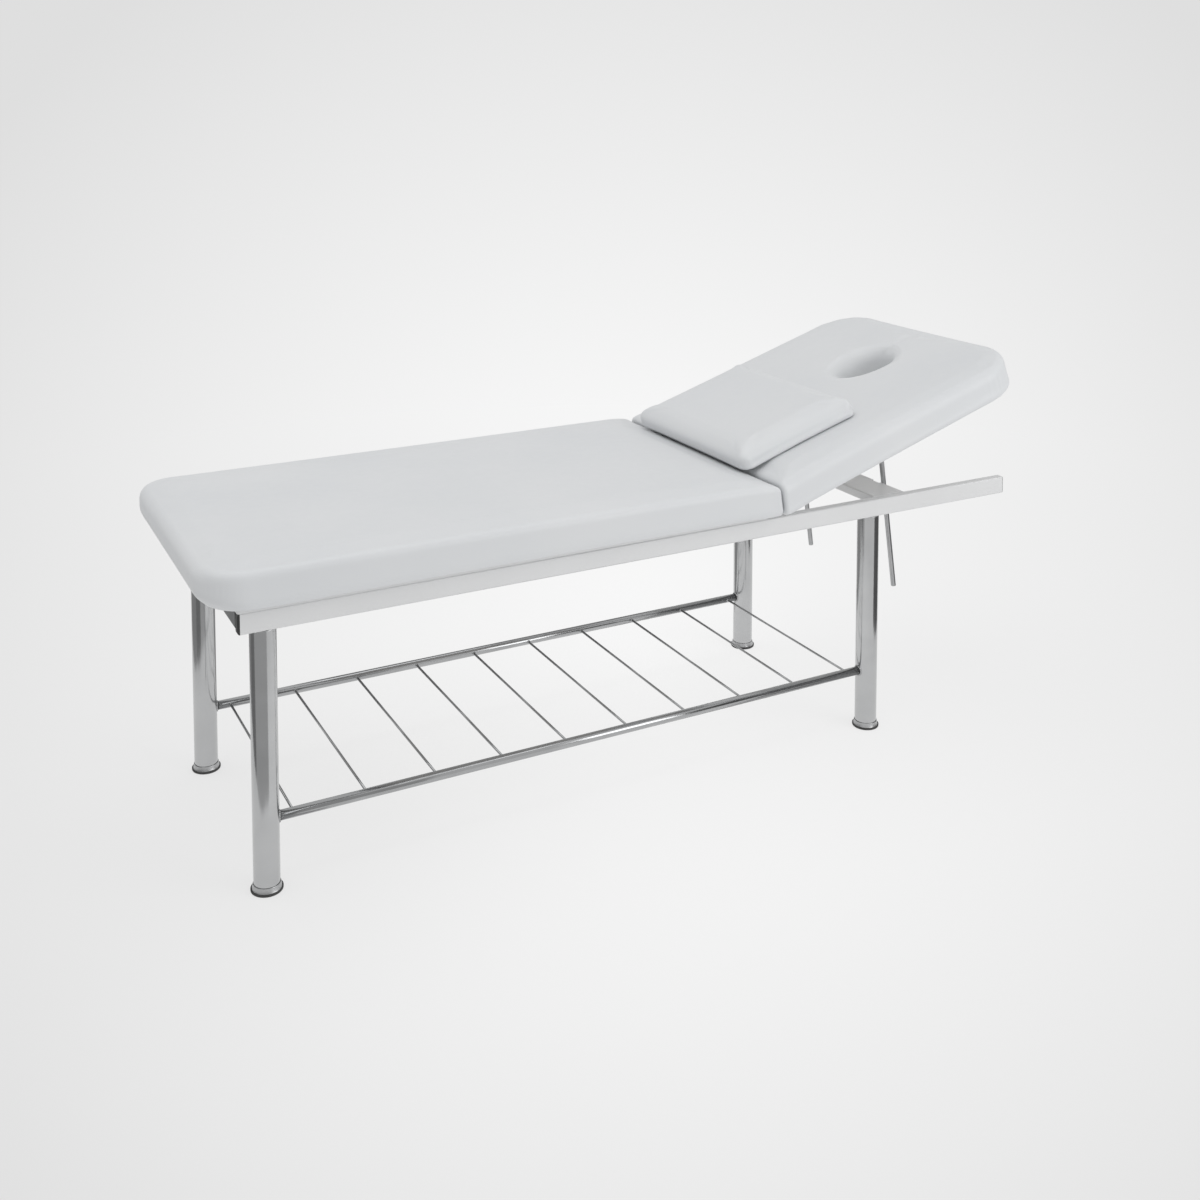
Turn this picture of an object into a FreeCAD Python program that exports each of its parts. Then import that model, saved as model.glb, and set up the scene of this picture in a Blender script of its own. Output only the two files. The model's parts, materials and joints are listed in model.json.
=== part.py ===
import FreeCAD, Part
import math
import os

# Fixed two-section treatment bed: a white steel rail frame on four chrome tube legs,
# an open wire shelf, a padded seat section and a padded backrest that tilts about a
# hinge line across the bed. Two sloping rods prop the backrest and slide in clamps.
# Millimetres. X runs to the head end, Y to the far side, Z up. Every piece is built
# with X = 0 on the hinge line and the backrest lying flat, is tilted to the rest
# angle if it belongs to the backrest, and is moved at the end so that the origin is
# the middle of the bed's outline on the floor.

Vec = FreeCAD.Vector
UP = Vec(0, 0, 1)
ACROSS = Vec(0, 1, 0)
ALONG = Vec(1, 0, 0)

# Tilt of the backrest, degrees above flat
rest_tilt = 17.4

# Overall sizes of the bed
seat_reach = 1244.5
back_reach = 744.0
cushion_width = 686.0
frame_width = 565.0
frame_height = 544.0
hinge_above_board = 18.0

# Rails and cross members, rectangular steel tube and folded sheet
rail_head_reach = 687.5
rail_setback = 78.0
rail_height = 40.0
rail_thickness = 20.0
rail_wall = 2.0
rail_corner = 3.0
cap_flange = 4.5
cap_edge = 2.0
cap_depth = 14.0
cap_fit = 0.1
foot_tube_height = 33.0
middle_tube_gap = 50.0
channel_width = 89.0
channel_height = 20.0
channel_sheet = 2.0
channel_lip = 14.0
channel_from_leg = 11.6
notch_depth = 8.0
notch_width = 30.0

# Legs, their mounting and the levelling feet
leg_diameter = 50.0
leg_wall = 2.0
leg_from_foot_end = 51.6
leg_from_head_end = 394.6
leg_ground_gap = 14.0
plate_length = 54.0
plate_reach = 30.0
plate_sheet = 4.0
plug_height = 12.0
leg_bolt_radius = 4.0
leg_bolt_spread = 24.0
leg_bolt_inset = 10.5
leg_bolt_head_radius = 6.8
bolt_head_height = 5.0
socket_flange = 2.0
socket_depth = 26.0
stud_radius = 5.0
stud_height = 44.0
foot_radius = 30.5
foot_pad_height = 4.0
foot_dome_height = 7.6
foot_dome_radius = 26.0
thread_gap = 0.1
foot_rim_share = 0.3
pad_slope_share = 0.38

# Wire shelf between the legs
shelf_height = 136.0
shelf_tube_diameter = 19.0
shelf_rod_diameter = 5.0
shelf_rod_count = 10
shelf_end_margin = 53.6

# Boards and the screws that hold the seat board
seat_board_sheet = 20.0
back_board_sheet = 19.5
back_lift = 0.5
board_corner = 40.0
board_edge_round = 5.0
back_board_margin = 70.0
tab_length = 40.0
tab_reach = 30.0
tab_sheet = 3.0
tab_foot_gap = 70.0
tab_hinge_gap = 7.0
tab_middle_share = 0.49
tab_screw_radius = 3.0
tab_screw_head_radius = 5.4
tab_screw_bite = 14.0

# Cushions
foam_height = 76.0
crown = 4.5
crown_reach = 120.0
side_draw = 2.0
seat_foot_corner = 85.0
seat_hinge_corner = 20.0
seat_edge = 20.0
seat_hinge_edge = 45.0
back_head_corner = 125.0
back_hinge_corner = 20.0
back_edge = 30.0
back_hinge_edge = 56.0
under_edge = 14.0
under_foot_edge = 32.0
under_hinge_edge = 6.0
cushion_hinge_gap = 7.0
crown_corner = 18.0

# Face hole, an oval through the backrest
hole_from_hinge = 524.5
hole_length = 175.0
hole_width = 130.0
hole_rim = 12.0
hole_board_margin = 6.0

# Pillow that lies loose on the backrest
pillow_start = 1.0
pillow_length = 338.0
pillow_width = 458.0
pillow_height = 44.0
pillow_crown = 5.0
pillow_crown_reach = 90.0
pillow_corner = 26.0
pillow_edge = 21.0
pillow_under_edge = 18.0
soft_gap = 0.3

# Butt hinges between the two boards
hinge_side_offset = 180.0
leaf_width = 70.0
leaf_sheet = 2.5
leaf_flange = 38.0
barrel_radius = 5.0
pin_radius = 3.0
pin_head_radius = 4.6
pin_head_height = 1.6
pin_gap = 0.06
knuckle_gap = 0.3
leaf_clear = 1.0
leaf_screw_radius = 2.2
leaf_screw_head_radius = 4.4
leaf_screw_bite = 13.0
leaf_screw_inset = 12.0
screw_head_height = 2.6

# Prop rods, their slotted brackets and the clamps they slide in
prop_side_offset = 166.7
rod_diameter = 12.0
rod_lean = 7.7
rod_tail = 215.3
clamp_reach = 25.0
clamp_drop = 54.0
cross_pin_radius = 4.0
slot_depth = 47.0
slot_offset = 0.2
slot_from_hinge = 407.5
slot_travel = 18.0
slot_play = 1.0
cheek_sheet = 3.0
cheek_gap = 14.0
cheek_rim = 4.5
cheek_length = 39.0
cheek_flange = 16.0
cheek_flange_set = 7.0
cheek_flange_sheet = 2.5
cross_head_radius = 5.6
cross_head_height = 2.0
cross_head_gap = 0.5
bracket_screw_radius = 2.2
bracket_screw_bite = 12.0
bracket_screw_share = 0.6
ear_sheet = 3.0
ear_radius = 11.0
ear_gap = 0.5
base_width = 62.0
base_length = 24.0
base_sheet = 3.0
base_bolt_radius = 2.5
base_bolt_spread = 44.0
base_bolt_end = 9.0
base_nut_radius = 4.6
base_nut_height = 4.0
block_width = 24.0
block_height = 26.0
block_front = 16.0
block_back = 12.0
block_edge = 2.0
rod_gap = 0.3
pivot_radius = 3.0
pivot_head_radius = 6.0
pivot_head_height = 3.0
pivot_bite = 3.6
pivot_gap = 0.08
knob_radius = 17.0
knob_height = 13.0
knob_neck = 3.0
knob_lobes = 5
knob_lobe_radius = 6.0
knob_edge = 2.0
knob_stud_radius = 4.0
knob_tip_gap = 0.25

# Spare length that lets a cut run past the faces it opens
overrun = 5.0

# Places that follow from the sizes above
hinge_height = frame_height + seat_board_sheet + hinge_above_board
frame_half = frame_width / 2
rail_inner = frame_half - rail_thickness
rail_foot = rail_setback - seat_reach
rail_head = rail_head_reach
rail_under = frame_height - rail_height
leg_radius = leg_diameter / 2
leg_inner_radius = leg_radius - leg_wall
leg_side = frame_half - leg_radius
leg_foot_x = rail_foot + leg_from_foot_end
leg_head_x = rail_head - leg_from_head_end
channel_foot_x = leg_head_x + channel_from_leg
channel_head_x = channel_foot_x + channel_width
channel_under = frame_height - channel_height
leaf_face = barrel_radius
seat_board_end = -leaf_face
board_top = frame_height + seat_board_sheet
back_board_top = frame_height + back_lift + back_board_sheet
clamp_x = channel_head_x + clamp_reach
clamp_z = frame_height - clamp_drop
base_bolt_x = channel_head_x - base_bolt_end
leg_bolt_y = leg_bolt_inset - leg_side


def block(x_low, y_low, z_low, x_size, y_size, z_size):
    """A box from its lowest corner and its three sizes."""
    return Part.makeBox(x_size, y_size, z_size, Vec(x_low, y_low, z_low))


def span(x_low, x_high, y_low, y_high, z_low, z_high):
    """A box between two corners."""
    return block(x_low, y_low, z_low, x_high - x_low, y_high - y_low, z_high - z_low)


def rod(radius, start, direction, length):
    """A round bar from a start point along a direction."""
    return Part.makeCylinder(radius, length, start, direction)


def joined(solids):
    """One solid from pieces that overlap or touch."""
    whole = solids[0]
    for piece in solids[1:]:
        whole = whole.fuse(piece)
    return whole.removeSplitter()


def group(solids):
    """Separate solids kept together in one node."""
    return Part.Compound(solids)


def rounded_plate(x_low, x_high, y_low, y_high, z_low, z_high, corner):
    """A plate whose upright edges are rounded."""
    plate = span(x_low, x_high, y_low, y_high, z_low, z_high)
    upright = [edge for edge in plate.Edges if abs(edge.tangentAt(edge.FirstParameter).z) > 0.9]
    return plate.makeFillet(corner, upright)


def bar(length_axis, lows, highs, corner, wall):
    """A rectangular tube along X or Y, with rounded corners and open ends."""
    sizes = [high - low for low, high in zip(lows, highs)]
    outer = Part.makeBox(sizes[0], sizes[1], sizes[2], Vec(lows[0], lows[1], lows[2]))
    along = [edge for edge in outer.Edges if abs(edge.tangentAt(edge.FirstParameter).dot(length_axis)) > 0.9]
    outer = outer.makeFillet(corner, along)
    inner_low = [low + wall for low in lows]
    inner_high = [high - wall for high in highs]
    for axis in (0, 1):
        if length_axis[axis]:
            inner_low[axis] = lows[axis] - overrun
            inner_high[axis] = highs[axis] + overrun
    inner = span(inner_low[0], inner_high[0], inner_low[1], inner_high[1], inner_low[2], inner_high[2])
    return outer.cut(inner)


def arc(start, middle, end):
    """An edge through three points."""
    return Part.Arc(start, middle, end).toShape()


def pad_outline(low, high, half, corner_low, corner_high, draw, level):
    """Outline of a pad at one height: four corner arcs and four sides drawn in at the middle."""
    edges = []
    corners = (
        (high - corner_high, half - corner_high, corner_high),
        (low + corner_low, half - corner_low, corner_low),
        (low + corner_low, corner_low - half, corner_low),
        (high - corner_high, corner_high - half, corner_high),
    )
    rounds = []
    for quarter, (centre_x, centre_y, radius) in enumerate(corners):
        points = []
        for step in (0, 0.5, 1):
            lean = math.pi / 2 * (quarter + step)
            points.append(Vec(centre_x + radius * math.cos(lean), centre_y + radius * math.sin(lean), level))
        rounds.append(points)
    pulls = (Vec(0, -draw, 0), Vec(draw, 0, 0), Vec(0, draw, 0), Vec(-draw, 0, 0))
    for index, points in enumerate(rounds):
        following = rounds[(index + 1) % len(rounds)]
        middle = (points[2] + following[0]) * 0.5 + pulls[index]
        edges.append(arc(points[0], points[1], points[2]))
        edges.append(arc(points[2], middle, following[0]))
    return Part.Wire(edges)


def round_inset(radius, height):
    """How far an edge of this radius has drawn in at a height above the start of its curve."""
    rise = min(max(height, 0), radius)
    return radius - math.sqrt(max(radius * radius - rise * rise, 0))


def pad(low, high, half, base, height, crown_height, run, corners, edges, unders, draw):
    """A crowned pad lofted through outlines: rounded under edge, upright side, rounded top, crown.

    corners holds the plan radii of the low and high ends, edges the top radii of the low end,
    the sides and the high end, and unders the radii of the under edges in the same order. The
    crown rises over a run in from the top edge.
    """
    corner_low, corner_high = corners
    edge_low, edge_side, edge_high = edges
    under_low, under_side, under_high = unders
    widest = max(edges)
    deepest = max(unders)
    under_angles = (0, 25, 40, 60, 90)
    top_angles = (0, 16, 32, 46, 58, 68, 78, 90)
    crown_shares = (0.25, 0.6, 1.0)
    levels = [deepest - deepest * math.cos(math.radians(angle)) for angle in under_angles]
    levels += [height - widest + widest * math.sin(math.radians(angle)) for angle in top_angles]
    outlines = []
    for level in levels:
        in_low = round_inset(under_low, under_low - level) + round_inset(edge_low, level - height + edge_low)
        in_high = round_inset(under_high, under_high - level) + round_inset(edge_high, level - height + edge_high)
        in_side = round_inset(under_side, under_side - level) + round_inset(edge_side, level - height + edge_side)
        outlines.append((in_low, in_high, in_side, level))
    for share in crown_shares:
        rise = crown_height * (1 - (1 - share) ** 2)
        inward = run * share
        outlines.append((edge_low + inward, edge_high + inward, edge_side + inward, height + rise))
    wires = []
    for in_low, in_high, in_side, level in outlines:
        first = max(corner_low - in_side, crown_corner)
        second = max(corner_high - in_side, crown_corner)
        wires.append(pad_outline(low + in_low, high - in_high, half - in_side, first, second, draw, base + level))
    return Part.makeLoft(wires, True, True)


def oval(centre, length, width, grow, level):
    """An oval outline made of four arcs through points of an ellipse."""
    half_length = length / 2 + grow
    half_width = width / 2 + grow
    points = []
    for step in range(8):
        lean = math.radians(45 * step - 45)
        points.append(Vec(centre + half_length * math.cos(lean), half_width * math.sin(lean), level))
    edges = []
    for step in (0, 2, 4, 6):
        edges.append(arc(points[step], points[step + 1], points[(step + 2) % 8]))
    return Part.Wire(edges)


def face_hole_cut():
    """The face hole's cutter: an oval that flares to a rounded rim at the top."""
    top = back_board_top + foam_height + crown
    wires = [oval(hole_from_hinge, hole_length, hole_width, 0, back_board_top - overrun)]
    for angle in (0, 30, 60, 80):
        lean = math.radians(angle)
        grow = hole_rim - hole_rim * math.cos(lean)
        wires.append(oval(hole_from_hinge, hole_length, hole_width, grow, top - hole_rim + hole_rim * math.sin(lean)))
    wires.append(oval(hole_from_hinge, hole_length, hole_width, hole_rim, top + overrun))
    return Part.makeLoft(wires, True, True)


def tilted(shape):
    """Turn a flat-lying backrest piece to the rest angle about the hinge line."""
    turned = shape.copy()
    turned.rotate(Vec(0, 0, hinge_height), Vec(0, -1, 0), rest_tilt)
    return turned


def mirrored(shape):
    """The same piece on the far side."""
    return shape.mirror(Vec(0, 0, 0), ACROSS)


def side_rail():
    """The near rail, between its two end caps."""
    lows = (rail_foot + cap_flange, -frame_half, rail_under)
    highs = (rail_head - cap_flange, -rail_inner, frame_height)
    return bar(ALONG, lows, highs, rail_corner, rail_wall)


def rail_cap(end_x, facing):
    """A plastic plug that closes one end of the near rail and lies flush with its faces."""
    flange_far = end_x - facing * cap_flange
    body_far = flange_far - facing * cap_depth
    flange = span(min(end_x, flange_far), max(end_x, flange_far), -frame_half, -rail_inner, rail_under, frame_height)
    along = [edge for edge in flange.Edges if abs(edge.tangentAt(edge.FirstParameter).x) > 0.9]
    flange = flange.makeFillet(rail_corner, along)
    boxes = [(edge, edge.BoundBox) for edge in flange.Edges]
    rim = [edge for edge, box in boxes if abs(box.XMin - end_x) < cap_fit and abs(box.XMax - end_x) < cap_fit]
    flange = flange.makeFillet(cap_edge, rim)
    inset = rail_wall + cap_fit
    plug = span(
        min(body_far, flange_far),
        max(body_far, flange_far),
        inset - frame_half,
        -rail_inner - inset,
        rail_under + inset,
        frame_height - inset,
    )
    return joined([flange, plug])


def foot_cross_tube():
    """The tube across the foot end, flush with the ends of the rails."""
    lows = (rail_foot, -rail_inner, frame_height - foot_tube_height)
    highs = (rail_foot + rail_thickness, rail_inner, frame_height)
    return bar(ACROSS, lows, highs, rail_corner, rail_wall)


def middle_cross_tube():
    """The tube laid flat under the hinge end of the seat board."""
    end = -middle_tube_gap
    lows = (end - rail_height, -rail_inner, frame_height - rail_thickness)
    highs = (end, rail_inner, frame_height)
    return bar(ACROSS, lows, highs, rail_corner, rail_wall)


def head_cross_channel():
    """The folded channel by the head legs, open below with two lips, notched for the brackets."""
    outer = span(channel_foot_x, channel_head_x, -rail_inner, rail_inner, channel_under, frame_height)
    folds = [
        edge
        for edge in outer.Edges
        if abs(edge.tangentAt(edge.FirstParameter).y) > 0.9
    ]
    outer = outer.makeFillet(rail_corner, folds)
    hollow = span(
        channel_foot_x + channel_sheet,
        channel_head_x - channel_sheet,
        -rail_inner - overrun,
        rail_inner + overrun,
        channel_under + channel_sheet,
        frame_height - channel_sheet,
    )
    mouth = span(
        channel_foot_x + channel_lip,
        channel_head_x - channel_lip,
        -rail_inner - overrun,
        rail_inner + overrun,
        channel_under - overrun,
        channel_under + channel_height / 2,
    )
    channel = outer.cut(hollow).cut(mouth)
    for side in (-1, 1):
        middle = side * prop_side_offset
        notch = span(
            channel_head_x - notch_depth,
            channel_head_x + overrun,
            middle - notch_width / 2,
            middle + notch_width / 2,
            channel_under - overrun,
            frame_height + overrun,
        )
        channel = channel.cut(notch)
        for offset in (-base_bolt_spread / 2, base_bolt_spread / 2):
            hole = rod(base_bolt_radius + thread_gap, Vec(base_bolt_x, middle + offset, channel_under - overrun),
                       UP, channel_sheet + 2 * overrun)
            channel = channel.cut(hole)
    return channel


def leg_tube(centre_x):
    """A near leg, open at both ends."""
    foot = Vec(centre_x, -leg_side, leg_ground_gap)
    length = rail_under - leg_ground_gap
    return rod(leg_radius, foot, UP, length).cut(rod(leg_inner_radius, foot, UP, length))


def leg_plate(centre_x):
    """The plate welded inside the near rail that takes the leg's two bolts."""
    low = centre_x - plate_length / 2
    plate = block(low, -rail_inner, rail_under, plate_length, plate_reach, plate_sheet)
    for bolt_x in leg_bolt_places(centre_x):
        plate = plate.cut(rod(leg_bolt_radius + thread_gap, Vec(bolt_x, leg_bolt_y, rail_under - overrun),
                              UP, plate_sheet + 2 * overrun))
    return plate


def leg_bolt_places(centre_x):
    """Where the two bolts of a leg stand along the rail."""
    return (centre_x - leg_bolt_spread / 2, centre_x + leg_bolt_spread / 2)


def leg_top_plug(centre_x):
    """The threaded disc welded inside a leg's top."""
    plug = rod(leg_inner_radius, Vec(centre_x, -leg_side, rail_under - plug_height), UP, plug_height)
    for bolt_x in leg_bolt_places(centre_x):
        plug = plug.cut(rod(leg_bolt_radius + thread_gap, Vec(bolt_x, leg_bolt_y, rail_under - plug_height),
                            UP, plug_height))
    return plug


def headed_bolt(radius, head_radius, head_height, under_head, direction, length):
    """A bolt whose head sits behind the point under its head and whose shank runs on from it."""
    head = hexagon(head_radius, under_head, direction * -1, head_height)
    return joined([head, rod(radius, under_head, direction, length)])


def hexagon(radius, start, direction, height):
    """A six-sided prism from a start point along a direction that is up or down."""
    points = []
    for step in range(7):
        lean = math.radians(60 * step)
        points.append(start + Vec(radius * math.cos(lean), radius * math.sin(lean), 0))
    face = Part.Face(Part.makePolygon(points))
    return face.extrude(direction * height)


def leg_bolts(centre_x):
    """The two bolts that hold a near leg."""
    top = rail_under + plate_sheet
    length = plate_sheet + plug_height
    bolts = []
    for bolt_x in leg_bolt_places(centre_x):
        start = Vec(bolt_x, leg_bolt_y, top)
        bolts.append(headed_bolt(leg_bolt_radius, leg_bolt_head_radius, bolt_head_height, start, UP * -1, length))
    return bolts


def leg_socket(centre_x):
    """The plastic plug in a leg's bottom, with the thread for the foot's stud."""
    base = leg_ground_gap - socket_flange
    flange = rod(leg_radius, Vec(centre_x, -leg_side, base), UP, socket_flange)
    plug = rod(leg_inner_radius, Vec(centre_x, -leg_side, leg_ground_gap), UP, socket_depth)
    bore = rod(stud_radius + thread_gap, Vec(centre_x, -leg_side, base - overrun), UP, socket_depth + 3 * overrun)
    return joined([flange, plug]).cut(bore)


def turned_part(points, centre_x, centre_y):
    """A part turned about an upright axis, from its profile of radius and height pairs."""
    ring = [Vec(centre_x + radius, centre_y, height) for radius, height in points]
    face = Part.Face(Part.makePolygon(ring + [ring[0]]))
    return face.revolve(Vec(centre_x, centre_y, 0), UP, 360)


def foot_cap(centre_x):
    """The domed steel disc of a levelling foot with its threaded stud."""
    shoulder = foot_pad_height
    top = foot_pad_height + foot_dome_height
    profile = (
        (0, shoulder),
        (foot_radius - thread_gap, shoulder),
        (foot_radius - thread_gap, shoulder + foot_dome_height * foot_rim_share),
        (foot_dome_radius, top),
        (stud_radius, top),
        (stud_radius, top + stud_height),
        (0, top + stud_height),
    )
    return turned_part(profile, centre_x, -leg_side)


def foot_pad(centre_x):
    """The rubber ring-shaped sole under a foot's disc."""
    profile = (
        (0, 0),
        (foot_radius - foot_pad_height * pad_slope_share, 0),
        (foot_radius, foot_pad_height * pad_slope_share),
        (foot_radius, foot_pad_height),
        (0, foot_pad_height),
    )
    return turned_part(profile, centre_x, -leg_side)


def shelf_tube():
    """The near long tube of the shelf, its ends cut to fit round the legs."""
    tube = rod(shelf_tube_diameter / 2, Vec(leg_foot_x, -leg_side, shelf_height), ALONG, leg_head_x - leg_foot_x)
    for centre_x in (leg_foot_x, leg_head_x):
        around = rod(leg_radius, Vec(centre_x, -leg_side, shelf_height - leg_radius), UP, leg_diameter)
        tube = tube.cut(around)
    return tube


def shelf_cross_rods():
    """The thin rods between the two long shelf tubes, evenly spaced."""
    start = leg_foot_x + shelf_end_margin
    pitch = (leg_head_x - leg_foot_x - 2 * shelf_end_margin) / (shelf_rod_count - 1)
    rods = []
    for index in range(shelf_rod_count):
        near_end = Vec(start + index * pitch, -leg_side, shelf_height)
        cross = rod(shelf_rod_diameter / 2, near_end, ACROSS, 2 * leg_side)
        for side in (-leg_side, leg_side):
            cross = cross.cut(rod(shelf_tube_diameter / 2, Vec(leg_foot_x, side, shelf_height),
                                  ALONG, leg_head_x - leg_foot_x))
        rods.append(cross)
    return group(rods)


def tab_places():
    """Where the near board tabs stand along the rail."""
    first = rail_foot + tab_foot_gap
    last = -middle_tube_gap - rail_height - tab_hinge_gap - tab_length / 2
    return [first, first + tab_middle_share * (last - first), last]


def tab_screw_y():
    """How far out the near tabs' screws stand."""
    return tab_reach / 2 - rail_inner


def board_tab(centre_x):
    """A near tab welded flush with the rail's top, which takes one board screw."""
    tab = block(centre_x - tab_length / 2, -rail_inner, frame_height - tab_sheet, tab_length, tab_reach, tab_sheet)
    hole = rod(tab_screw_radius + thread_gap, Vec(centre_x, tab_screw_y(), frame_height - tab_sheet - overrun),
               UP, tab_sheet + 2 * overrun)
    return tab.cut(hole)


def board_screw(centre_x):
    """A screw up through a near tab into the seat board."""
    start = Vec(centre_x, tab_screw_y(), frame_height - tab_sheet)
    return headed_bolt(tab_screw_radius, tab_screw_head_radius, screw_head_height, start, UP,
                       tab_sheet + tab_screw_bite)


def screw_hole(radius, x, y, base, bite):
    """The hole that a screw cuts in a board."""
    return rod(radius + thread_gap, Vec(x, y, base - overrun), UP, bite + overrun)


def seat_board():
    """The plywood under the seat cushion, with its screw holes."""
    board = rounded_plate(rail_foot, seat_board_end, -frame_half, frame_half, frame_height, board_top, board_edge_round)
    for place in tab_places():
        for side in (-1, 1):
            board = board.cut(screw_hole(tab_screw_radius, place, side * tab_screw_y(), frame_height, tab_screw_bite))
    for x, y in leaf_screw_places(-1):
        board = board.cut(screw_hole(leaf_screw_radius, x, y, frame_height, leaf_screw_bite))
    return board


def back_board():
    """The plywood under the backrest cushion, with the face hole and its screw holes."""
    base = frame_height + back_lift
    end = back_reach - back_board_margin
    board = span(leaf_face, end, -frame_half, frame_half, base, back_board_top)
    head_corners = [
        edge
        for edge in board.Edges
        if abs(edge.tangentAt(edge.FirstParameter).z) > 0.9 and edge.CenterOfMass.x > hole_from_hinge
    ]
    board = board.makeFillet(board_corner, head_corners)
    hole = Part.Face(oval(hole_from_hinge, hole_length, hole_width, hole_board_margin, base - overrun))
    board = board.cut(hole.extrude(UP * (back_board_sheet + 2 * overrun)))
    for x, y in leaf_screw_places(1):
        board = board.cut(screw_hole(leaf_screw_radius, x, y, base, leaf_screw_bite))
    for side in (-1, 1):
        for x, y in bracket_screw_places():
            board = board.cut(screw_hole(bracket_screw_radius, x, side * y, base, bracket_screw_bite))
    return board


def seat_cushion():
    """The seat's foam pad in its cover."""
    return pad(
        -seat_reach, -cushion_hinge_gap, cushion_width / 2, board_top, foam_height, crown, crown_reach,
        (seat_foot_corner, seat_hinge_corner), (seat_edge, seat_edge, seat_hinge_edge),
        (under_foot_edge, under_edge, under_hinge_edge), side_draw,
    )


def back_cushion():
    """The backrest's foam pad with the face hole."""
    body = pad(
        cushion_hinge_gap, back_reach, cushion_width / 2, back_board_top, foam_height, crown, crown_reach,
        (back_hinge_corner, back_head_corner), (back_hinge_edge, back_edge, back_edge),
        (under_hinge_edge, under_edge, under_edge), side_draw,
    )
    return body.cut(face_hole_cut())


def pillow():
    """The flat pillow that lies on the backrest by the hinge."""
    base = back_board_top + foam_height + crown + soft_gap
    return pad(
        pillow_start, pillow_start + pillow_length, pillow_width / 2, base, pillow_height, pillow_crown,
        pillow_crown_reach, (pillow_corner, pillow_corner), (pillow_edge, pillow_edge, pillow_edge),
        (pillow_under_edge, pillow_under_edge, pillow_under_edge), side_draw,
    )


def leaf_screw_places(side):
    """Screw places of both leaves on one side of the hinge line: -1 the seat, 1 the backrest."""
    out = leaf_face + leaf_flange - leaf_screw_inset
    spread = leaf_width / 2 - leaf_screw_inset
    places = []
    for middle in (-hinge_side_offset, hinge_side_offset):
        for offset in (-spread, spread):
            places.append((side * out, middle + offset))
    return places


def knuckle_spans():
    """The three knuckles across a hinge, from its near end, with a running gap between them."""
    third = leaf_width / 3
    starts = (0, third + knuckle_gap / 2, 2 * third + knuckle_gap / 2)
    lengths = (third - knuckle_gap / 2, third - knuckle_gap, third - knuckle_gap / 2)
    return list(zip(starts, lengths))


def hinge_leaf(middle, side, base, own):
    """One leaf: a flange under its board, an upright strip and the knuckles it owns."""
    near = middle - leaf_width / 2
    inner = leaf_face - leaf_sheet
    flange_top = base
    flange = span(inner, leaf_face + leaf_flange, near, near + leaf_width, flange_top - leaf_sheet, flange_top)
    strip_top = hinge_height - barrel_radius - leaf_clear
    strip = span(inner, leaf_face, near, near + leaf_width, flange_top - leaf_sheet, strip_top)
    pieces = [flange, strip]
    for index, (start, length) in enumerate(knuckle_spans()):
        if index in own:
            pieces.append(rod(barrel_radius, Vec(0, near + start, hinge_height), ACROSS, length))
            pieces.append(span(inner, leaf_face, near + start, near + start + length, strip_top, hinge_height))
    leaf = joined(pieces)
    leaf = leaf.cut(rod(pin_radius + pin_gap, Vec(0, near - overrun, hinge_height), ACROSS, leaf_width + 2 * overrun))
    for x, y in leaf_screw_places(1):
        if abs(y - middle) < leaf_width / 2:
            leaf = leaf.cut(rod(leaf_screw_radius + thread_gap, Vec(x, y, flange_top - leaf_sheet - overrun),
                                UP, leaf_sheet + 2 * overrun))
    if side < 0:
        leaf = leaf.mirror(Vec(0, 0, 0), ALONG)
    return leaf


def hinge_pin(middle):
    """A hinge's pin with a head at each end."""
    near = middle - leaf_width / 2
    shank = rod(pin_radius, Vec(0, near, hinge_height), ACROSS, leaf_width)
    first = rod(pin_head_radius, Vec(0, near - pin_head_height, hinge_height), ACROSS, pin_head_height)
    second = rod(pin_head_radius, Vec(0, near + leaf_width, hinge_height), ACROSS, pin_head_height)
    return joined([first, shank, second])


def leaf_screws(side, base):
    """The screws of both leaves on one side."""
    screws = []
    for x, y in leaf_screw_places(side):
        start = Vec(x, y, base - leaf_sheet)
        screws.append(pan_screw(leaf_screw_radius, leaf_screw_head_radius, start, leaf_sheet + leaf_screw_bite))
    return screws


def pan_screw(radius, head_radius, start, length):
    """A round-headed screw that points up from the face it clamps."""
    head = rod(head_radius, start + UP * -screw_head_height, UP, screw_head_height)
    return joined([head, rod(radius, start, UP, length)])


def bracket_screw_places():
    """Screw places of the near slotted bracket, outwards positive."""
    x = slot_from_hinge + cheek_flange_set / 2
    reach = cheek_gap / 2 + cheek_sheet + cheek_flange * bracket_screw_share
    return [(x, -prop_side_offset - reach), (x, -prop_side_offset + reach)]


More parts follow.
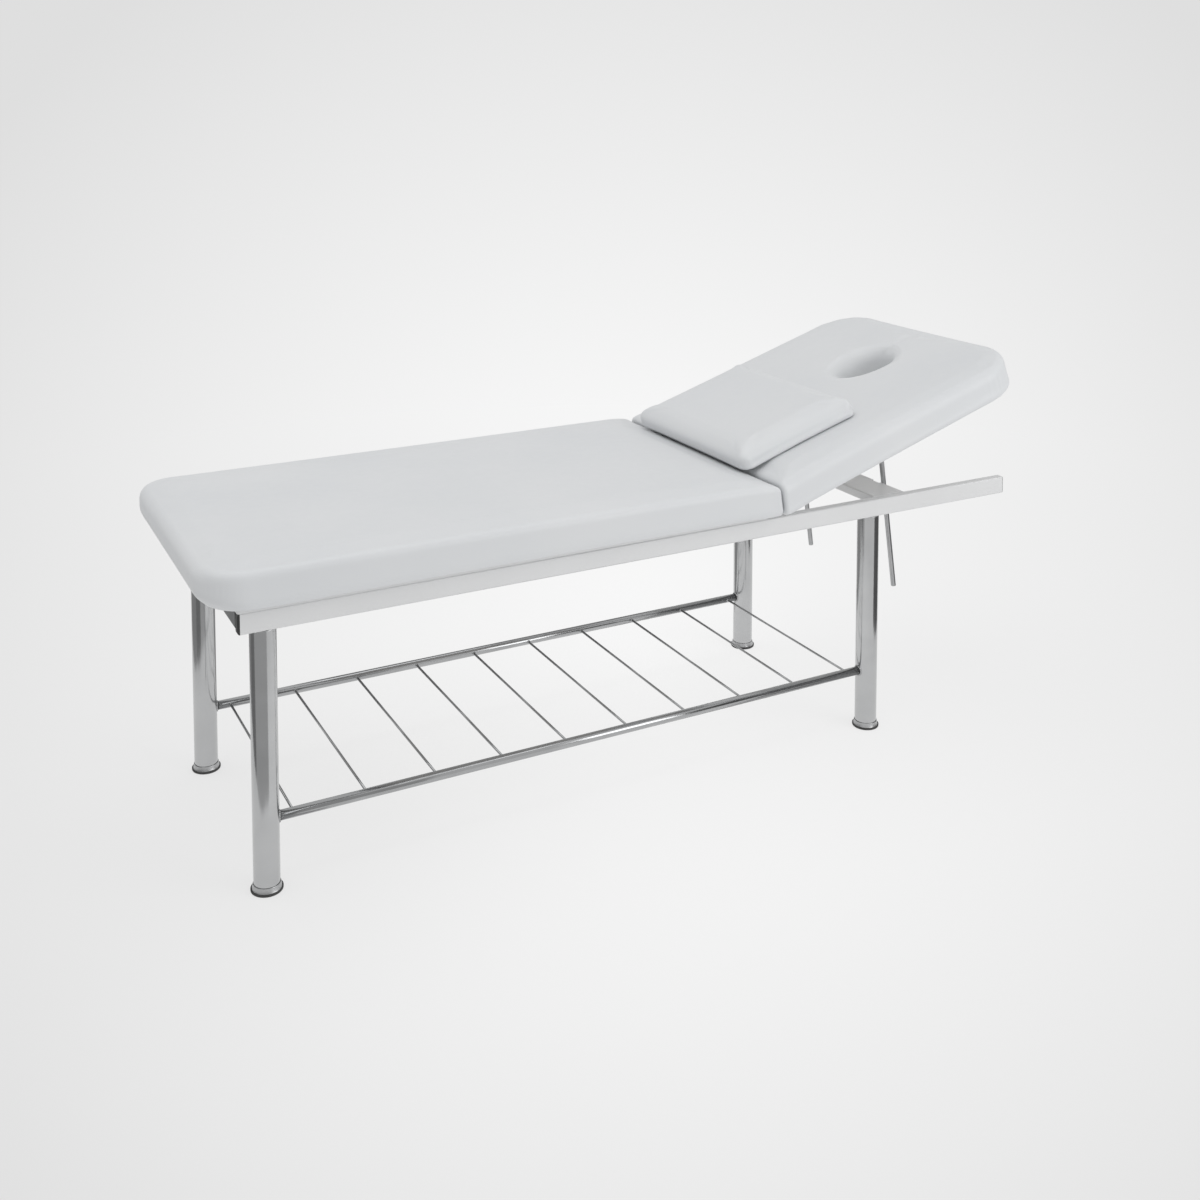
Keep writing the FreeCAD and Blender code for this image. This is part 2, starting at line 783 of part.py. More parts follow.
def slotted_bracket():
    """The near bracket under the backrest board: two slotted cheeks joined at the head end."""
    base = frame_height + back_lift
    slot_z = hinge_height - slot_depth
    slot_half = cross_pin_radius + slot_play
    lower = slot_z - slot_half - cheek_rim
    low = slot_from_hinge - cheek_length / 2
    high = slot_from_hinge + cheek_length / 2
    inner = cheek_gap / 2
    outer = inner + cheek_sheet
    pieces = []
    for side in (-1, 1):
        cheek_y = sorted((side * inner, side * outer))
        cheek = span(low, high, cheek_y[0], cheek_y[1], lower, base)
        lower_edges = [
            edge
            for edge in cheek.Edges
            if abs(edge.tangentAt(edge.FirstParameter).y) > 0.9 and edge.CenterOfMass.z < slot_z
        ]
        cheek = cheek.makeFillet(cheek_rim, lower_edges[:1])
        pieces.append(cheek)
        flange_y = sorted((side * inner, side * (outer + cheek_flange)))
        pieces.append(span(low + cheek_flange_set, high, flange_y[0], flange_y[1], base - cheek_flange_sheet, base))
    pieces.append(span(high - cheek_sheet, high, -outer, outer, lower, base))
    bracket = joined(pieces)
    reach = outer + overrun
    for end in (-slot_travel / 2, slot_travel / 2):
        bracket = bracket.cut(rod(slot_half, Vec(slot_from_hinge + end, -reach, slot_z), ACROSS, 2 * reach))
    bracket = bracket.cut(span(
        slot_from_hinge - slot_travel / 2, slot_from_hinge + slot_travel / 2, -reach, reach,
        slot_z - slot_half, slot_z + slot_half,
    ))
    bracket.translate(Vec(0, -prop_side_offset, 0))
    for x, y in bracket_screw_places():
        bracket = bracket.cut(rod(bracket_screw_radius + thread_gap, Vec(x, y, base - cheek_flange_sheet - overrun),
                                  UP, cheek_flange_sheet + 2 * overrun))
    return bracket


def bracket_screws():
    """The near bracket's two screws."""
    base = frame_height + back_lift
    screws = []
    for x, y in bracket_screw_places():
        start = Vec(x, y, base - cheek_flange_sheet)
        screws.append(pan_screw(bracket_screw_radius, leaf_screw_head_radius, start,
                                cheek_flange_sheet + bracket_screw_bite))
    return screws


def rest_pin():
    """Where the rod's cross pin lies at rest: the rod's line meets the slot's line."""
    tilt = math.radians(rest_tilt)
    lean = math.radians(rod_lean)
    depth = slot_depth + slot_offset
    gap_x = clamp_x - depth * math.sin(tilt)
    gap_z = clamp_z - hinge_height + depth * math.cos(tilt)
    swing = math.cos(tilt) * math.cos(lean) + math.sin(tilt) * math.sin(lean)
    along_rod = (gap_x * math.sin(tilt) - gap_z * math.cos(tilt)) / swing
    return Vec(clamp_x - along_rod * math.sin(lean), -prop_side_offset, clamp_z + along_rod * math.cos(lean))


def rod_direction():
    """The way the rods point, up from the clamp."""
    lean = math.radians(rod_lean)
    return Vec(-math.sin(lean), 0, math.cos(lean))


def cross_pin():
    """The near rod's cross pin with a head outside each cheek."""
    centre = rest_pin()
    reach = cheek_gap / 2 + cheek_sheet + cross_head_gap
    shank = rod(cross_pin_radius, centre - ACROSS * reach, ACROSS, 2 * reach)
    first = rod(cross_head_radius, centre - ACROSS * (reach + cross_head_height), ACROSS, cross_head_height)
    second = rod(cross_head_radius, centre + ACROSS * reach, ACROSS, cross_head_height)
    return joined([first, shank, second])


def prop_rod():
    """The near prop rod, from its free lower end to the cross pin it is welded to."""
    lower = Vec(clamp_x, -prop_side_offset, clamp_z) - rod_direction() * rod_tail
    length = (rest_pin() - lower).Length
    stem = rod(rod_diameter / 2, lower, rod_direction(), length)
    return stem.cut(rod(cross_pin_radius, rest_pin() - ACROSS * rod_diameter, ACROSS, 2 * rod_diameter))


def leaned(shape):
    """Turn a clamp piece built upright to the rods' lean about the clamp's pivot."""
    turned = shape.copy()
    turned.rotate(Vec(clamp_x, 0, clamp_z), Vec(0, -1, 0), rod_lean)
    return turned


def clamp_block():
    """The near clamp: a block with the rod's bore, the knob's thread and two pivot holes."""
    body = span(
        clamp_x - block_back, clamp_x + block_front, -block_width / 2, block_width / 2,
        clamp_z - block_height / 2, clamp_z + block_height / 2,
    )
    across = [edge for edge in body.Edges if abs(edge.tangentAt(edge.FirstParameter).y) > 0.9]
    body = body.makeFillet(block_edge, across)
    bore = rod(rod_diameter / 2 + rod_gap, Vec(clamp_x, 0, clamp_z - block_height), UP, 2 * block_height)
    thread = rod(knob_stud_radius + thread_gap, Vec(clamp_x, 0, clamp_z), ALONG, block_front + overrun)
    body = body.cut(bore).cut(thread)
    for side in (-1, 1):
        start = Vec(clamp_x, side * (block_width / 2 - pivot_bite), clamp_z)
        body = body.cut(rod(pivot_radius + thread_gap, start, ACROSS * side, pivot_bite + overrun))
    body.translate(Vec(0, -prop_side_offset, 0))
    return leaned(body)


def pivot_screws():
    """The two shoulder screws that the near clamp swivels on."""
    screws = []
    reach = ear_gap + ear_sheet
    for side in (-1, 1):
        face = Vec(clamp_x, -prop_side_offset + side * (block_width / 2 - pivot_bite), clamp_z)
        head = rod(pivot_head_radius, face + ACROSS * (side * (pivot_bite + reach + pivot_gap)),
                   ACROSS * side, pivot_head_height)
        neck = rod(pivot_radius, face, ACROSS * side, pivot_bite + reach + pivot_gap)
        screws.append(leaned(joined([neck, head])))
    return group(screws)


def clamp_bracket():
    """The near bracket under the channel: a base plate and two ears that carry the clamp."""
    base_low = channel_head_x - base_length
    base_under = channel_under - base_sheet
    plate = span(base_low, channel_head_x, -base_width / 2, base_width / 2, base_under, channel_under)
    inner = block_width / 2 + ear_gap
    pieces = [plate]
    for side in (-1, 1):
        profile = [
            Vec(base_low, 0, channel_under),
            Vec(channel_head_x, 0, channel_under),
            Vec(clamp_x + ear_radius, 0, clamp_z),
            Vec(clamp_x, 0, clamp_z - ear_radius),
            Vec(clamp_x - ear_radius, 0, clamp_z),
        ]
        edges = [Part.makePolygon(profile[:3]).Edges, Part.makePolygon([profile[4], profile[0]]).Edges]
        rounding = arc(profile[2], profile[3], profile[4])
        outline = Part.Wire(edges[0] + [rounding] + edges[1])
        ear = Part.Face(outline).extrude(ACROSS * ear_sheet)
        ear.translate(Vec(0, inner if side > 0 else -inner - ear_sheet, 0))
        pieces.append(ear)
    bracket = joined(pieces)
    reach = inner + ear_sheet + overrun
    bracket = bracket.cut(rod(pivot_radius + pivot_gap, Vec(clamp_x, -reach, clamp_z), ACROSS, 2 * reach))
    for side in (-1, 1):
        hole = Vec(base_bolt_x, side * base_bolt_spread / 2, base_under - overrun)
        bracket = bracket.cut(rod(base_bolt_radius + thread_gap, hole, UP, base_sheet + 2 * overrun))
    bracket.translate(Vec(0, -prop_side_offset, 0))
    return bracket


def clamp_bracket_bolts():
    """The near bracket's two bolts and the nuts on them."""
    solids = []
    base_under = channel_under - base_sheet
    length = base_sheet + channel_sheet + base_nut_height
    for side in (-1, 1):
        y = -prop_side_offset + side * base_bolt_spread / 2
        solids.append(headed_bolt(base_bolt_radius, base_nut_radius, base_nut_height,
                                  Vec(base_bolt_x, y, base_under), UP, length))
        nut_start = Vec(base_bolt_x, y, channel_under + channel_sheet)
        nut = hexagon(base_nut_radius, nut_start, UP, base_nut_height)
        solids.append(nut.cut(rod(base_bolt_radius + thread_gap, nut_start, UP, base_nut_height)))
    return solids


def clamp_knob():
    """The near star knob with its stud, built along X and leaned with the clamp."""
    stud_start = rod_diameter / 2 + knob_tip_gap
    knob_start = block_front + knob_neck
    stud = rod(knob_stud_radius, Vec(stud_start, 0, 0), ALONG, knob_start - stud_start + knob_height / 2)
    hub = rod(knob_radius - knob_lobe_radius, Vec(knob_start, 0, 0), ALONG, knob_height)
    pieces = [hub]
    for index in range(knob_lobes):
        lean = math.radians(360 * index / knob_lobes)
        reach = knob_radius - knob_lobe_radius
        centre = Vec(knob_start, reach * math.sin(lean), reach * math.cos(lean))
        pieces.append(rod(knob_lobe_radius, centre, ALONG, knob_height))
    star = joined(pieces)
    outer = [edge for edge in star.Edges if abs(edge.CenterOfMass.x - knob_start - knob_height) < knob_edge]
    star = star.makeFillet(knob_edge, outer)
    knob = joined([star, stud])
    knob.translate(Vec(clamp_x, -prop_side_offset, clamp_z))
    return leaned(knob)


# The pieces on the near side that also stand on the far side
near_pieces = {
    "side_rail": side_rail(),
    "leg_foot": leg_tube(leg_foot_x),
    "leg_head": leg_tube(leg_head_x),
    "foot_cap_foot": foot_cap(leg_foot_x),
    "foot_cap_head": foot_cap(leg_head_x),
    "foot_pad_foot": foot_pad(leg_foot_x),
    "foot_pad_head": foot_pad(leg_head_x),
    "shelf_tube": shelf_tube(),
    "slotted_bracket": tilted(slotted_bracket()),
    "prop_rod": prop_rod(),
    "cross_pin": cross_pin(),
    "clamp_bracket": clamp_bracket(),
    "clamp_block": clamp_block(),
    "pivot_screws": pivot_screws(),
    "clamp_knob": clamp_knob(),
}

# The groups of like solids that share one node, near side first
near_groups = {
    "rail_caps_foot": [rail_cap(rail_foot, -1)],
    "rail_caps_head": [rail_cap(rail_head, 1)],
    "leg_plates": [leg_plate(leg_foot_x), leg_plate(leg_head_x)],
    "leg_top_plugs": [leg_top_plug(leg_foot_x), leg_top_plug(leg_head_x)],
    "leg_bolts": leg_bolts(leg_foot_x) + leg_bolts(leg_head_x),
    "leg_sockets": [leg_socket(leg_foot_x), leg_socket(leg_head_x)],
    "board_tabs": [board_tab(place) for place in tab_places()],
    "seat_board_screws": [board_screw(place) for place in tab_places()],
    "bracket_screws": [tilted(screw) for screw in bracket_screws()],
    "clamp_bracket_bolts": clamp_bracket_bolts(),
}

hinges = (-hinge_side_offset, hinge_side_offset)
back_base = frame_height + back_lift

nodes = {
    "foot_cross_tube": foot_cross_tube(),
    "middle_cross_tube": middle_cross_tube(),
    "head_cross_channel": head_cross_channel(),
    "shelf_cross_rods": shelf_cross_rods(),
    "seat_board": seat_board(),
    "seat_cushion": seat_cushion(),
    "backrest_board": tilted(back_board()),
    "backrest_cushion": tilted(back_cushion()),
    "pillow": tilted(pillow()),
    "hinge_fixed_leaves": group([hinge_leaf(place, -1, frame_height, (0, 2)) for place in hinges]),
    "hinge_moving_leaves": group([tilted(hinge_leaf(place, 1, back_base, (1,))) for place in hinges]),
    "hinge_pins": group([hinge_pin(place) for place in hinges]),
    "hinge_fixed_screws": group(leaf_screws(-1, frame_height)),
    "hinge_moving_screws": group([tilted(screw) for screw in leaf_screws(1, back_base)]),
}
for name, shape in near_pieces.items():
    nodes[name + "_near"] = shape
    nodes[name + "_far"] = mirrored(shape)
for name, solids in near_groups.items():
    nodes[name] = group(solids + [mirrored(solid) for solid in solids])

# The origin: the middle of the bed's outline from above, on the floor
cushions = Part.Compound([nodes["seat_cushion"], nodes["backrest_cushion"]])
outline = cushions.BoundBox
to_origin = Vec(-(outline.XMin + outline.XMax) / 2, 0, 0)

os.makedirs("parts", exist_ok=True)
for name, shape in nodes.items():
    placed = shape.copy()
    placed.translate(to_origin)
    placed.exportStep("parts/" + name + ".step")
    print(name, len(placed.Solids), "solids, volume", round(placed.Volume), "valid", placed.isValid())
print("hinge line at", to_origin.x, hinge_height, "clamp pivot at", clamp_x + to_origin.x, clamp_z)
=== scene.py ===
"""Looks of a fixed two-section treatment bed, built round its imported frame. Metres, Z up."""
import json
import logging
import math
from dataclasses import dataclass, field
from enum import Enum
from functools import cached_property
from typing import Any, Callable, ClassVar

import bpy
import numpy as np
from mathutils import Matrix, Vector

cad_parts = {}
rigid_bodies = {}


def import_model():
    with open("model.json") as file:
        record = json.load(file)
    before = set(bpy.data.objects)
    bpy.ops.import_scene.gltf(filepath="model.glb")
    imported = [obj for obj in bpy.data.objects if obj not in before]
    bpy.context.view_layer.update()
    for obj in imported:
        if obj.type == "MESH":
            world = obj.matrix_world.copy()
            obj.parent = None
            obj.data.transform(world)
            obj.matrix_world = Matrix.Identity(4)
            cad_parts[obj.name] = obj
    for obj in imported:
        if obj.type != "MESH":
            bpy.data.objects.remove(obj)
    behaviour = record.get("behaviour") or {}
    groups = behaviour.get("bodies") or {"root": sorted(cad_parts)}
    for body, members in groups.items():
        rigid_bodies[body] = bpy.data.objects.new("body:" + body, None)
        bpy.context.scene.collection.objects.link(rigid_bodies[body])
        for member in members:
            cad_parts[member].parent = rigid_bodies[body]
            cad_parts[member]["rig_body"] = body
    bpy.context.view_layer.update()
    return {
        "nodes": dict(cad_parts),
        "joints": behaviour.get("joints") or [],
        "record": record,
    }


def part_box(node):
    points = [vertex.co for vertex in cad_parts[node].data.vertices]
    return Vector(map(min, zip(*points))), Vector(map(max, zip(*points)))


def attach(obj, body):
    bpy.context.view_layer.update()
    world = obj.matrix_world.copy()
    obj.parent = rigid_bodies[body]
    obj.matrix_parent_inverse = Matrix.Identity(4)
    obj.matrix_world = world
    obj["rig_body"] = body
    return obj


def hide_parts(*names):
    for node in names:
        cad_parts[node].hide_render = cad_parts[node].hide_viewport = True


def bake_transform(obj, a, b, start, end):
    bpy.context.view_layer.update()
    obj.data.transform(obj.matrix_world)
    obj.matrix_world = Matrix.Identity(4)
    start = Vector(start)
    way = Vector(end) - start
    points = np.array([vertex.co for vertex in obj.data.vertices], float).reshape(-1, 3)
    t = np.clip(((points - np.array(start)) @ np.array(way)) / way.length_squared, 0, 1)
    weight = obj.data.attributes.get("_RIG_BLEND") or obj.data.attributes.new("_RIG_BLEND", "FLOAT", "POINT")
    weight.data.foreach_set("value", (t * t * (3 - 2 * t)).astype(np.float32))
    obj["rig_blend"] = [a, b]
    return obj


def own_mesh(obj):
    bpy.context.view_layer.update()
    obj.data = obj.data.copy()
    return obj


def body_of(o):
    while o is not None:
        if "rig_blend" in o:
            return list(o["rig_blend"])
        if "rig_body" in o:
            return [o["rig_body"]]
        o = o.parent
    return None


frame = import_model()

log = logging.getLogger("treatment_bed")

Array = np.ndarray
Piece = bpy.types.Object
Material = bpy.types.Material
Socket = bpy.types.NodeSocket
Value = Socket | float | tuple

JOINTS: dict[str, dict] = {joint["name"]: joint for joint in frame["joints"]}
TILT_JOINT = "backrest_tilt"
REST_TILT = math.radians(-JOINTS[TILT_JOINT]["range_deg"][0])
HINGE = np.array(JOINTS[TILT_JOINT]["pos_m"], float)
SIDES: tuple[str, ...] = ("near", "far")
ENDS: tuple[str, ...] = ("foot", "head")
UP = (0.0, 0.0, 1.0)
ACROSS = (0.0, 1.0, 0.0)
TINY = 1e-9


class Slot(Enum):
    """Material slots of the record that pieces take their finish from."""

    PAINT = "white_paint"
    # Near-black coat of the foot cross tube: its darkness is partly painted shade, standing for the shade
    # under the seat's overhang at the foot end.
    BLACK_AND_SHADE_PAINT = "black_paint"
    CHROME = "leg_chrome"
    WIRE = "shelf_wire"
    ZINC = "zinc_steel"
    PLASTIC = "black_plastic"
    PALE_PLASTIC = "white_plastic"
    GREY_PLASTIC = "grey_plastic"
    RUBBER = "foot_rubber"
    WOOD = "board_wood"
    VINYL = "white_vinyl"


def linked(name: str, data: bpy.types.ID) -> Piece:
    """A new object that holds this data, linked to the scene."""
    thing = bpy.data.objects.new(name, data)
    bpy.context.scene.collection.objects.link(thing)
    return thing


def read_points(data: bpy.types.Mesh) -> Array:
    """A mesh's points as an (n, 3) array."""
    points = np.zeros(len(data.vertices) * 3)
    data.vertices.foreach_get("co", points)
    return points.reshape(-1, 3)


def write_points(data: bpy.types.Mesh, points: Array) -> None:
    """Put an (n, 3) array into a mesh's points."""
    data.vertices.foreach_set("co", points.astype(np.float32).ravel())
    data.update()


def shade(data: bpy.types.Mesh, smooth: bool = True) -> None:
    """Shade every face of a mesh smooth, or every face flat."""
    data.polygons.foreach_set("use_smooth", np.full(len(data.polygons), smooth))
    data.update()


def mesh_piece(name: str, points: Array, faces: list, smooth: bool = True) -> Piece:
    """Make an object whose mesh holds these points and faces, with its place in the mesh.

    Args:
        name: the piece's name.
        points: an (n, 3) array.
        faces: index lists.
        smooth: whether its faces are shaded smooth.

    Returns:
        The linked object at the origin.
    """
    data = bpy.data.meshes.new(name)
    data.from_pydata(points.tolist(), [], faces)
    shade(data, smooth)
    return linked(name, data)


def modify(piece: Piece, kind: str, **settings: Any) -> bpy.types.Modifier:
    """Add a modifier to a piece.

    Args:
        piece: the object.
        kind: the modifier's type.
        settings: its properties.

    Returns:
        The modifier.
    """
    modifier = piece.modifiers.new(kind.lower(), kind)
    for name, value in settings.items():
        setattr(modifier, name, value)
    return modifier


def bake_modifiers(piece: Piece) -> None:
    """Put the result of a piece's modifiers into its own mesh.

    Args:
        piece: the object, which keeps no modifier.
    """
    data = bpy.data.meshes.new_from_object(piece.evaluated_get(bpy.context.evaluated_depsgraph_get()))
    piece.modifiers.clear()
    old = piece.data
    piece.data = data
    data.name = piece.name
    bpy.data.meshes.remove(old)


def turn_about_hinge(points: Array, angle: float | Array) -> Array:
    """Turn points about the hinge line; a positive angle raises the head end.

    x' = x cos a - z sin a and z' = x sin a + z cos a, from the hinge line.

    Args:
        points: an (n, 3) array.
        angle: radians, one for all points or one for each.

    Returns:
        The turned points.
    """
    from_hinge = points - HINGE
    cos, sin = np.cos(angle), np.sin(angle)
    turned = from_hinge.copy()
    turned[:, 0] = from_hinge[:, 0] * cos - from_hinge[:, 2] * sin
    turned[:, 2] = from_hinge[:, 0] * sin + from_hinge[:, 2] * cos
    return turned + HINGE


def node_box(node: str) -> tuple[Array, Array]:
    """Lowest and highest corner of a CAD node at rest."""
    low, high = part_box(node)
    return np.array(low, float), np.array(high, float)


def flat_box(node: str) -> tuple[Array, Array]:
    """Lowest and highest corner of a backrest node once the backrest is turned back to flat."""
    flat = turn_about_hinge(read_points(frame["nodes"][node].data), -REST_TILT)
    return flat.min(axis=0), flat.max(axis=0)


def box_middle(low: Array, high: Array, height: float) -> Array:
    """The point at a height on the upright line through a box's middle."""
    return np.array([(low[0] + high[0]) / 2, (low[1] + high[1]) / 2, height])


def grid_faces(rows: int, columns: int, loop_rows: bool = False) -> list:
    """Quads of a grid whose columns wrap round, and whose rows may wrap too.

    Args:
        rows: how many rings.
        columns: points in each ring.
        loop_rows: whether the last ring joins the first.

    Returns:
        Index lists that face outwards when the rings turn right-handed about their travel.
    """
    row = np.arange(rows if loop_rows else rows - 1)[:, None]
    column = np.arange(columns)[None, :]
    here, after = row * columns, (row + 1) % rows * columns
    beside = (column + 1) % columns
    quads = np.stack([here + column, here + beside, after + beside, after + column], axis=-1)
    return quads.reshape(-1, 4).tolist()


def closed_tube(rings: Array) -> tuple[Array, list]:
    """A solid from rings of points: quads between them and a fan over each end.

    Args:
        rings: an (m, n, 3) array, right-handed about its travel.

    Returns:
        Points and faces.
    """
    count, sides, _ = rings.shape
    around = np.arange(sides)
    beside = (around + 1) % sides
    low_middle, top = count * sides, (count - 1) * sides
    low = np.stack([np.full(sides, low_middle), beside, around], axis=-1)
    high = np.stack([np.full(sides, low_middle + 1), top + around, top + beside], axis=-1)
    points = np.concatenate([rings.reshape(-1, 3), rings[:1].mean(axis=1), rings[-1:].mean(axis=1)])
    return points, grid_faces(count, sides) + low.tolist() + high.tolist()


def once_round(sides: int) -> Array:
    """Angles spaced evenly once round a circle."""
    return np.linspace(0, 2 * math.pi, sides, endpoint=False)


def turned_rings(profile: Array, start: Array, direction: Array, sides: int) -> Array:
    """Rings of a turned part: each (radius, height) pair of the profile goes round the axis.

    Point = start + height * axis + radius * (cos a * first + sin a * second), where first and second
    are square to the axis and make a right-handed set with it.

    Args:
        profile: an (m, 2) array of radius and height.
        start: where height is zero.
        direction: the axis.
        sides: points in each ring.

    Returns:
        An (m, sides, 3) array.
    """
    axis = np.array(direction, float) / np.linalg.norm(direction)
    helper = np.array([0.0, 0.0, 1.0]) if abs(axis[2]) < 0.9 else np.array([1.0, 0.0, 0.0])
    first = np.cross(helper, axis)
    first /= np.linalg.norm(first)
    second = np.cross(axis, first)
    angle = once_round(sides)
    circle = np.cos(angle)[:, None] * first + np.sin(angle)[:, None] * second
    radius, height = profile[:, 0][:, None, None], profile[:, 1][:, None, None]
    return np.array(start, float) + height * axis + radius * circle[None]


def blend_curve(start: Array, bend: Array, end: Array, steps: int) -> Array:
    """A quadratic blend: p = (1-t)^2 start + 2t(1-t) bend + t^2 end.

    Args:
        start: first point.
        bend: the point that it bends towards.
        end: last point.
        steps: how many points.

    Returns:
        A (steps, 2) array.
    """
    share = np.linspace(0, 1, steps)[:, None]
    return (1 - share) ** 2 * start + 2 * share * (1 - share) * bend + share**2 * end


def rounded_profile(corners: list[tuple[float, float, float]], steps: int = 5) -> Array:
    """An open profile whose corners are rounded by quadratic blends from side to side.

    Args:
        corners: radius, height and rounding of each corner, in order.
        steps: points on each rounding.

    Returns:
        An (n, 2) array.
    """
    points = np.array([corner[:2] for corner in corners], float)
    stretches = [points[:1]]
    for before, here, after, corner in zip(points[:-2], points[1:-1], points[2:], corners[1:-1]):
        if corner[2] <= 0:
            stretches.append(here[None])
            continue
        towards_before = (before - here) / max(np.linalg.norm(before - here), TINY)
        towards_after = (after - here) / max(np.linalg.norm(after - here), TINY)
        first, last = here + towards_before * corner[2], here + towards_after * corner[2]
        stretches.append(blend_curve(first, here, last, steps))
    return np.concatenate([*stretches, points[-1:]])


def quarter_arcs(centre_x: Array, centre_y: Array, radius: Array, turn: float, steps: int) -> Array:
    """A quarter circle for each row: centre + radius * (cos a, sin a), a from turn to turn + 90 degrees.

    Args:
        centre_x: one for each row.
        centre_y: one for each row.
        radius: one for each row.
        turn: where the arcs start, in degrees.
        steps: points on each arc.

    Returns:
        A (rows, steps, 2) array.
    """
    angle = np.radians(turn + np.linspace(0, 90, steps))
    x = centre_x[:, None] + radius[:, None] * np.cos(angle)
    return np.stack([x, centre_y[:, None] + radius[:, None] * np.sin(angle)], axis=-1)


def with_third(flat: Array, third: Array, place: int) -> Array:
    """Add to each ring of flat points the one coordinate that all its points share.

    Args:
        flat: an (m, n, 2) array.
        third: that coordinate of each of the m rings.
        place: 0 to put it first, 2 to put it last.

    Returns:
        An (m, n, 3) array.
    """
    shared = np.broadcast_to(third[:, None, None], flat.shape[:2] + (1,))
    return np.concatenate([shared, flat] if place == 0 else [flat, shared], axis=-1)


def bead_rings(path: Array, radius: float, ripples: int, ripple: float = 0.14, sides: int = 10) -> Array:
    """A weld bead along a closed path: a ring at each point, its radius rippled.

    r(s) = radius * (1 + ripple * cos(2 pi ripples s)), s going once round the path.

    Args:
        path: an (n, 3) closed path.
        radius: the bead's mean radius.
        ripples: how many puddles it has.
        ripple: how much of the radius they change.
        sides: points in each ring.

    Returns:
        An (n, sides, 3) array.
    """
    along = np.roll(path, -1, axis=0) - np.roll(path, 1, axis=0)
    along /= np.linalg.norm(along, axis=1)[:, None]
    outward = path - path.mean(axis=0)
    outward -= (outward * along).sum(axis=1)[:, None] * along
    outward /= np.linalg.norm(outward, axis=1)[:, None]
    across = np.cross(along, outward)
    share = np.arange(len(path)) / len(path)
    size = radius * (1 + ripple * np.cos(2 * math.pi * ripples * share))
    cos, sin = np.cos(once_round(sides))[None, :, None], np.sin(once_round(sides))[None, :, None]
    return path[:, None, :] + size[:, None, None] * (cos * outward[:, None, :] + sin * across[:, None, :])


@dataclass
class MeshSum:
    """Points and faces of one piece, added up from several closed shapes."""

    points: list[Array] = field(default_factory=list)
    faces: list = field(default_factory=list)
    count: int = 0

    def add(self, points: Array, faces: list) -> "MeshSum":
        """Add a shape.

        Args:
            points: an (n, 3) array.
            faces: index lists that count from zero.

        Returns:
            The sum itself.
        """
        self.faces += [[index + self.count for index in face] for face in faces]
        self.points.append(points)
        self.count += len(points)
        return self

    def add_rings(self, rings: Array) -> "MeshSum":
        """Add a solid made of rings with closed ends."""
        return self.add(*closed_tube(rings))

    def add_loop(self, rings: Array) -> "MeshSum":
        """Add a ring-shaped solid whose last ring joins its first."""
        return self.add(rings.reshape(-1, 3), grid_faces(*rings.shape[:2], loop_rows=True))

    def piece(self, name: str) -> Piece:
        """The finished piece."""
        return mesh_piece(name, np.concatenate(self.points), self.faces)


def grey(level: float, blue: float = 0.0) -> tuple[float, float, float, float]:
    """A near-neutral colour, with a little blue added."""
    return (level - blue / 2, level, level + blue / 2, 1.0)


class Nodes:
    """A node tree with short calls that add a node and fill its sockets."""

    def __init__(self, tree: bpy.types.NodeTree) -> None:
        """Work in this tree."""
        self.tree = tree

    @cached_property
    def place(self) -> Socket:
        """Object coordinates."""
        return self.add("TexCoord", {}).outputs["Object"]

    def feed(self, value: Value, socket: Socket) -> None:
        """Link an output to a socket, or set the socket itself.

        Args:
            value: an output socket, a number, a colour or a vector.
            socket: the input socket that takes it.
        """
        if isinstance(value, bpy.types.NodeSocket):
            self.tree.links.new(value, socket)
        else:
            socket.default_value = value

    def add(self, kind: str, inputs: dict[str | int, Value], **settings: Any) -> bpy.types.Node:
        """Add a node.

        Args:
            kind: its type, without the leading ShaderNode.
            inputs: what its sockets take, by name or number.
            settings: its own properties, such as its operation.

        Returns:
            The node.
        """
        node = self.tree.nodes.new(f"ShaderNode{kind}")
        for name, value in settings.items():
            setattr(node, name, value)
        for key, value in inputs.items():
            self.feed(value, node.inputs[key])
        return node

    def math(self, operation: str, first: Value, second: Value) -> Socket:
        """One operation on two numbers."""
        return self.add("Math", {0: first, 1: second}, operation=operation).outputs["Value"]

    def vector(self, operation: str, inputs: dict[str | int, Value], output: str = "Vector") -> Socket:
        """One operation on vectors."""
        return self.add("VectorMath", inputs, operation=operation).outputs[output]

    def ranged(self, value: Socket, low: float, high: float, start: float = 0.3, end: float = 0.7,
               kind: str = "LINEAR") -> Socket:
        """A value spread from start..end to low..high, and kept inside it."""
        inputs = {"Value": value, "From Min": start, "From Max": end, "To Min": low, "To Max": high}
        return self.add("MapRange", inputs, interpolation_type=kind).outputs["Result"]

    def mixed(self, share: Socket, first: Value, second: Value) -> Socket:
        """A colour between two colours.

        Args:
            share: how much of the second.
            first: a colour, or the socket that gives it.
            second: the other.

        Returns:
            The colour's socket.
        """
        node = self.add("Mix", {"Factor": share}, data_type="RGBA")
        sockets = [entry for entry in node.inputs if entry.type == "RGBA"]
        for colour, socket in zip((first, second), sockets):
            self.feed(colour, socket)
        return next(entry for entry in node.outputs if entry.type == "RGBA")

    def end(self, kind: str, surface: Socket) -> None:
        """Send a surface to the output of a Material or a World."""
        self.add(f"Output{kind}", {"Surface": surface})


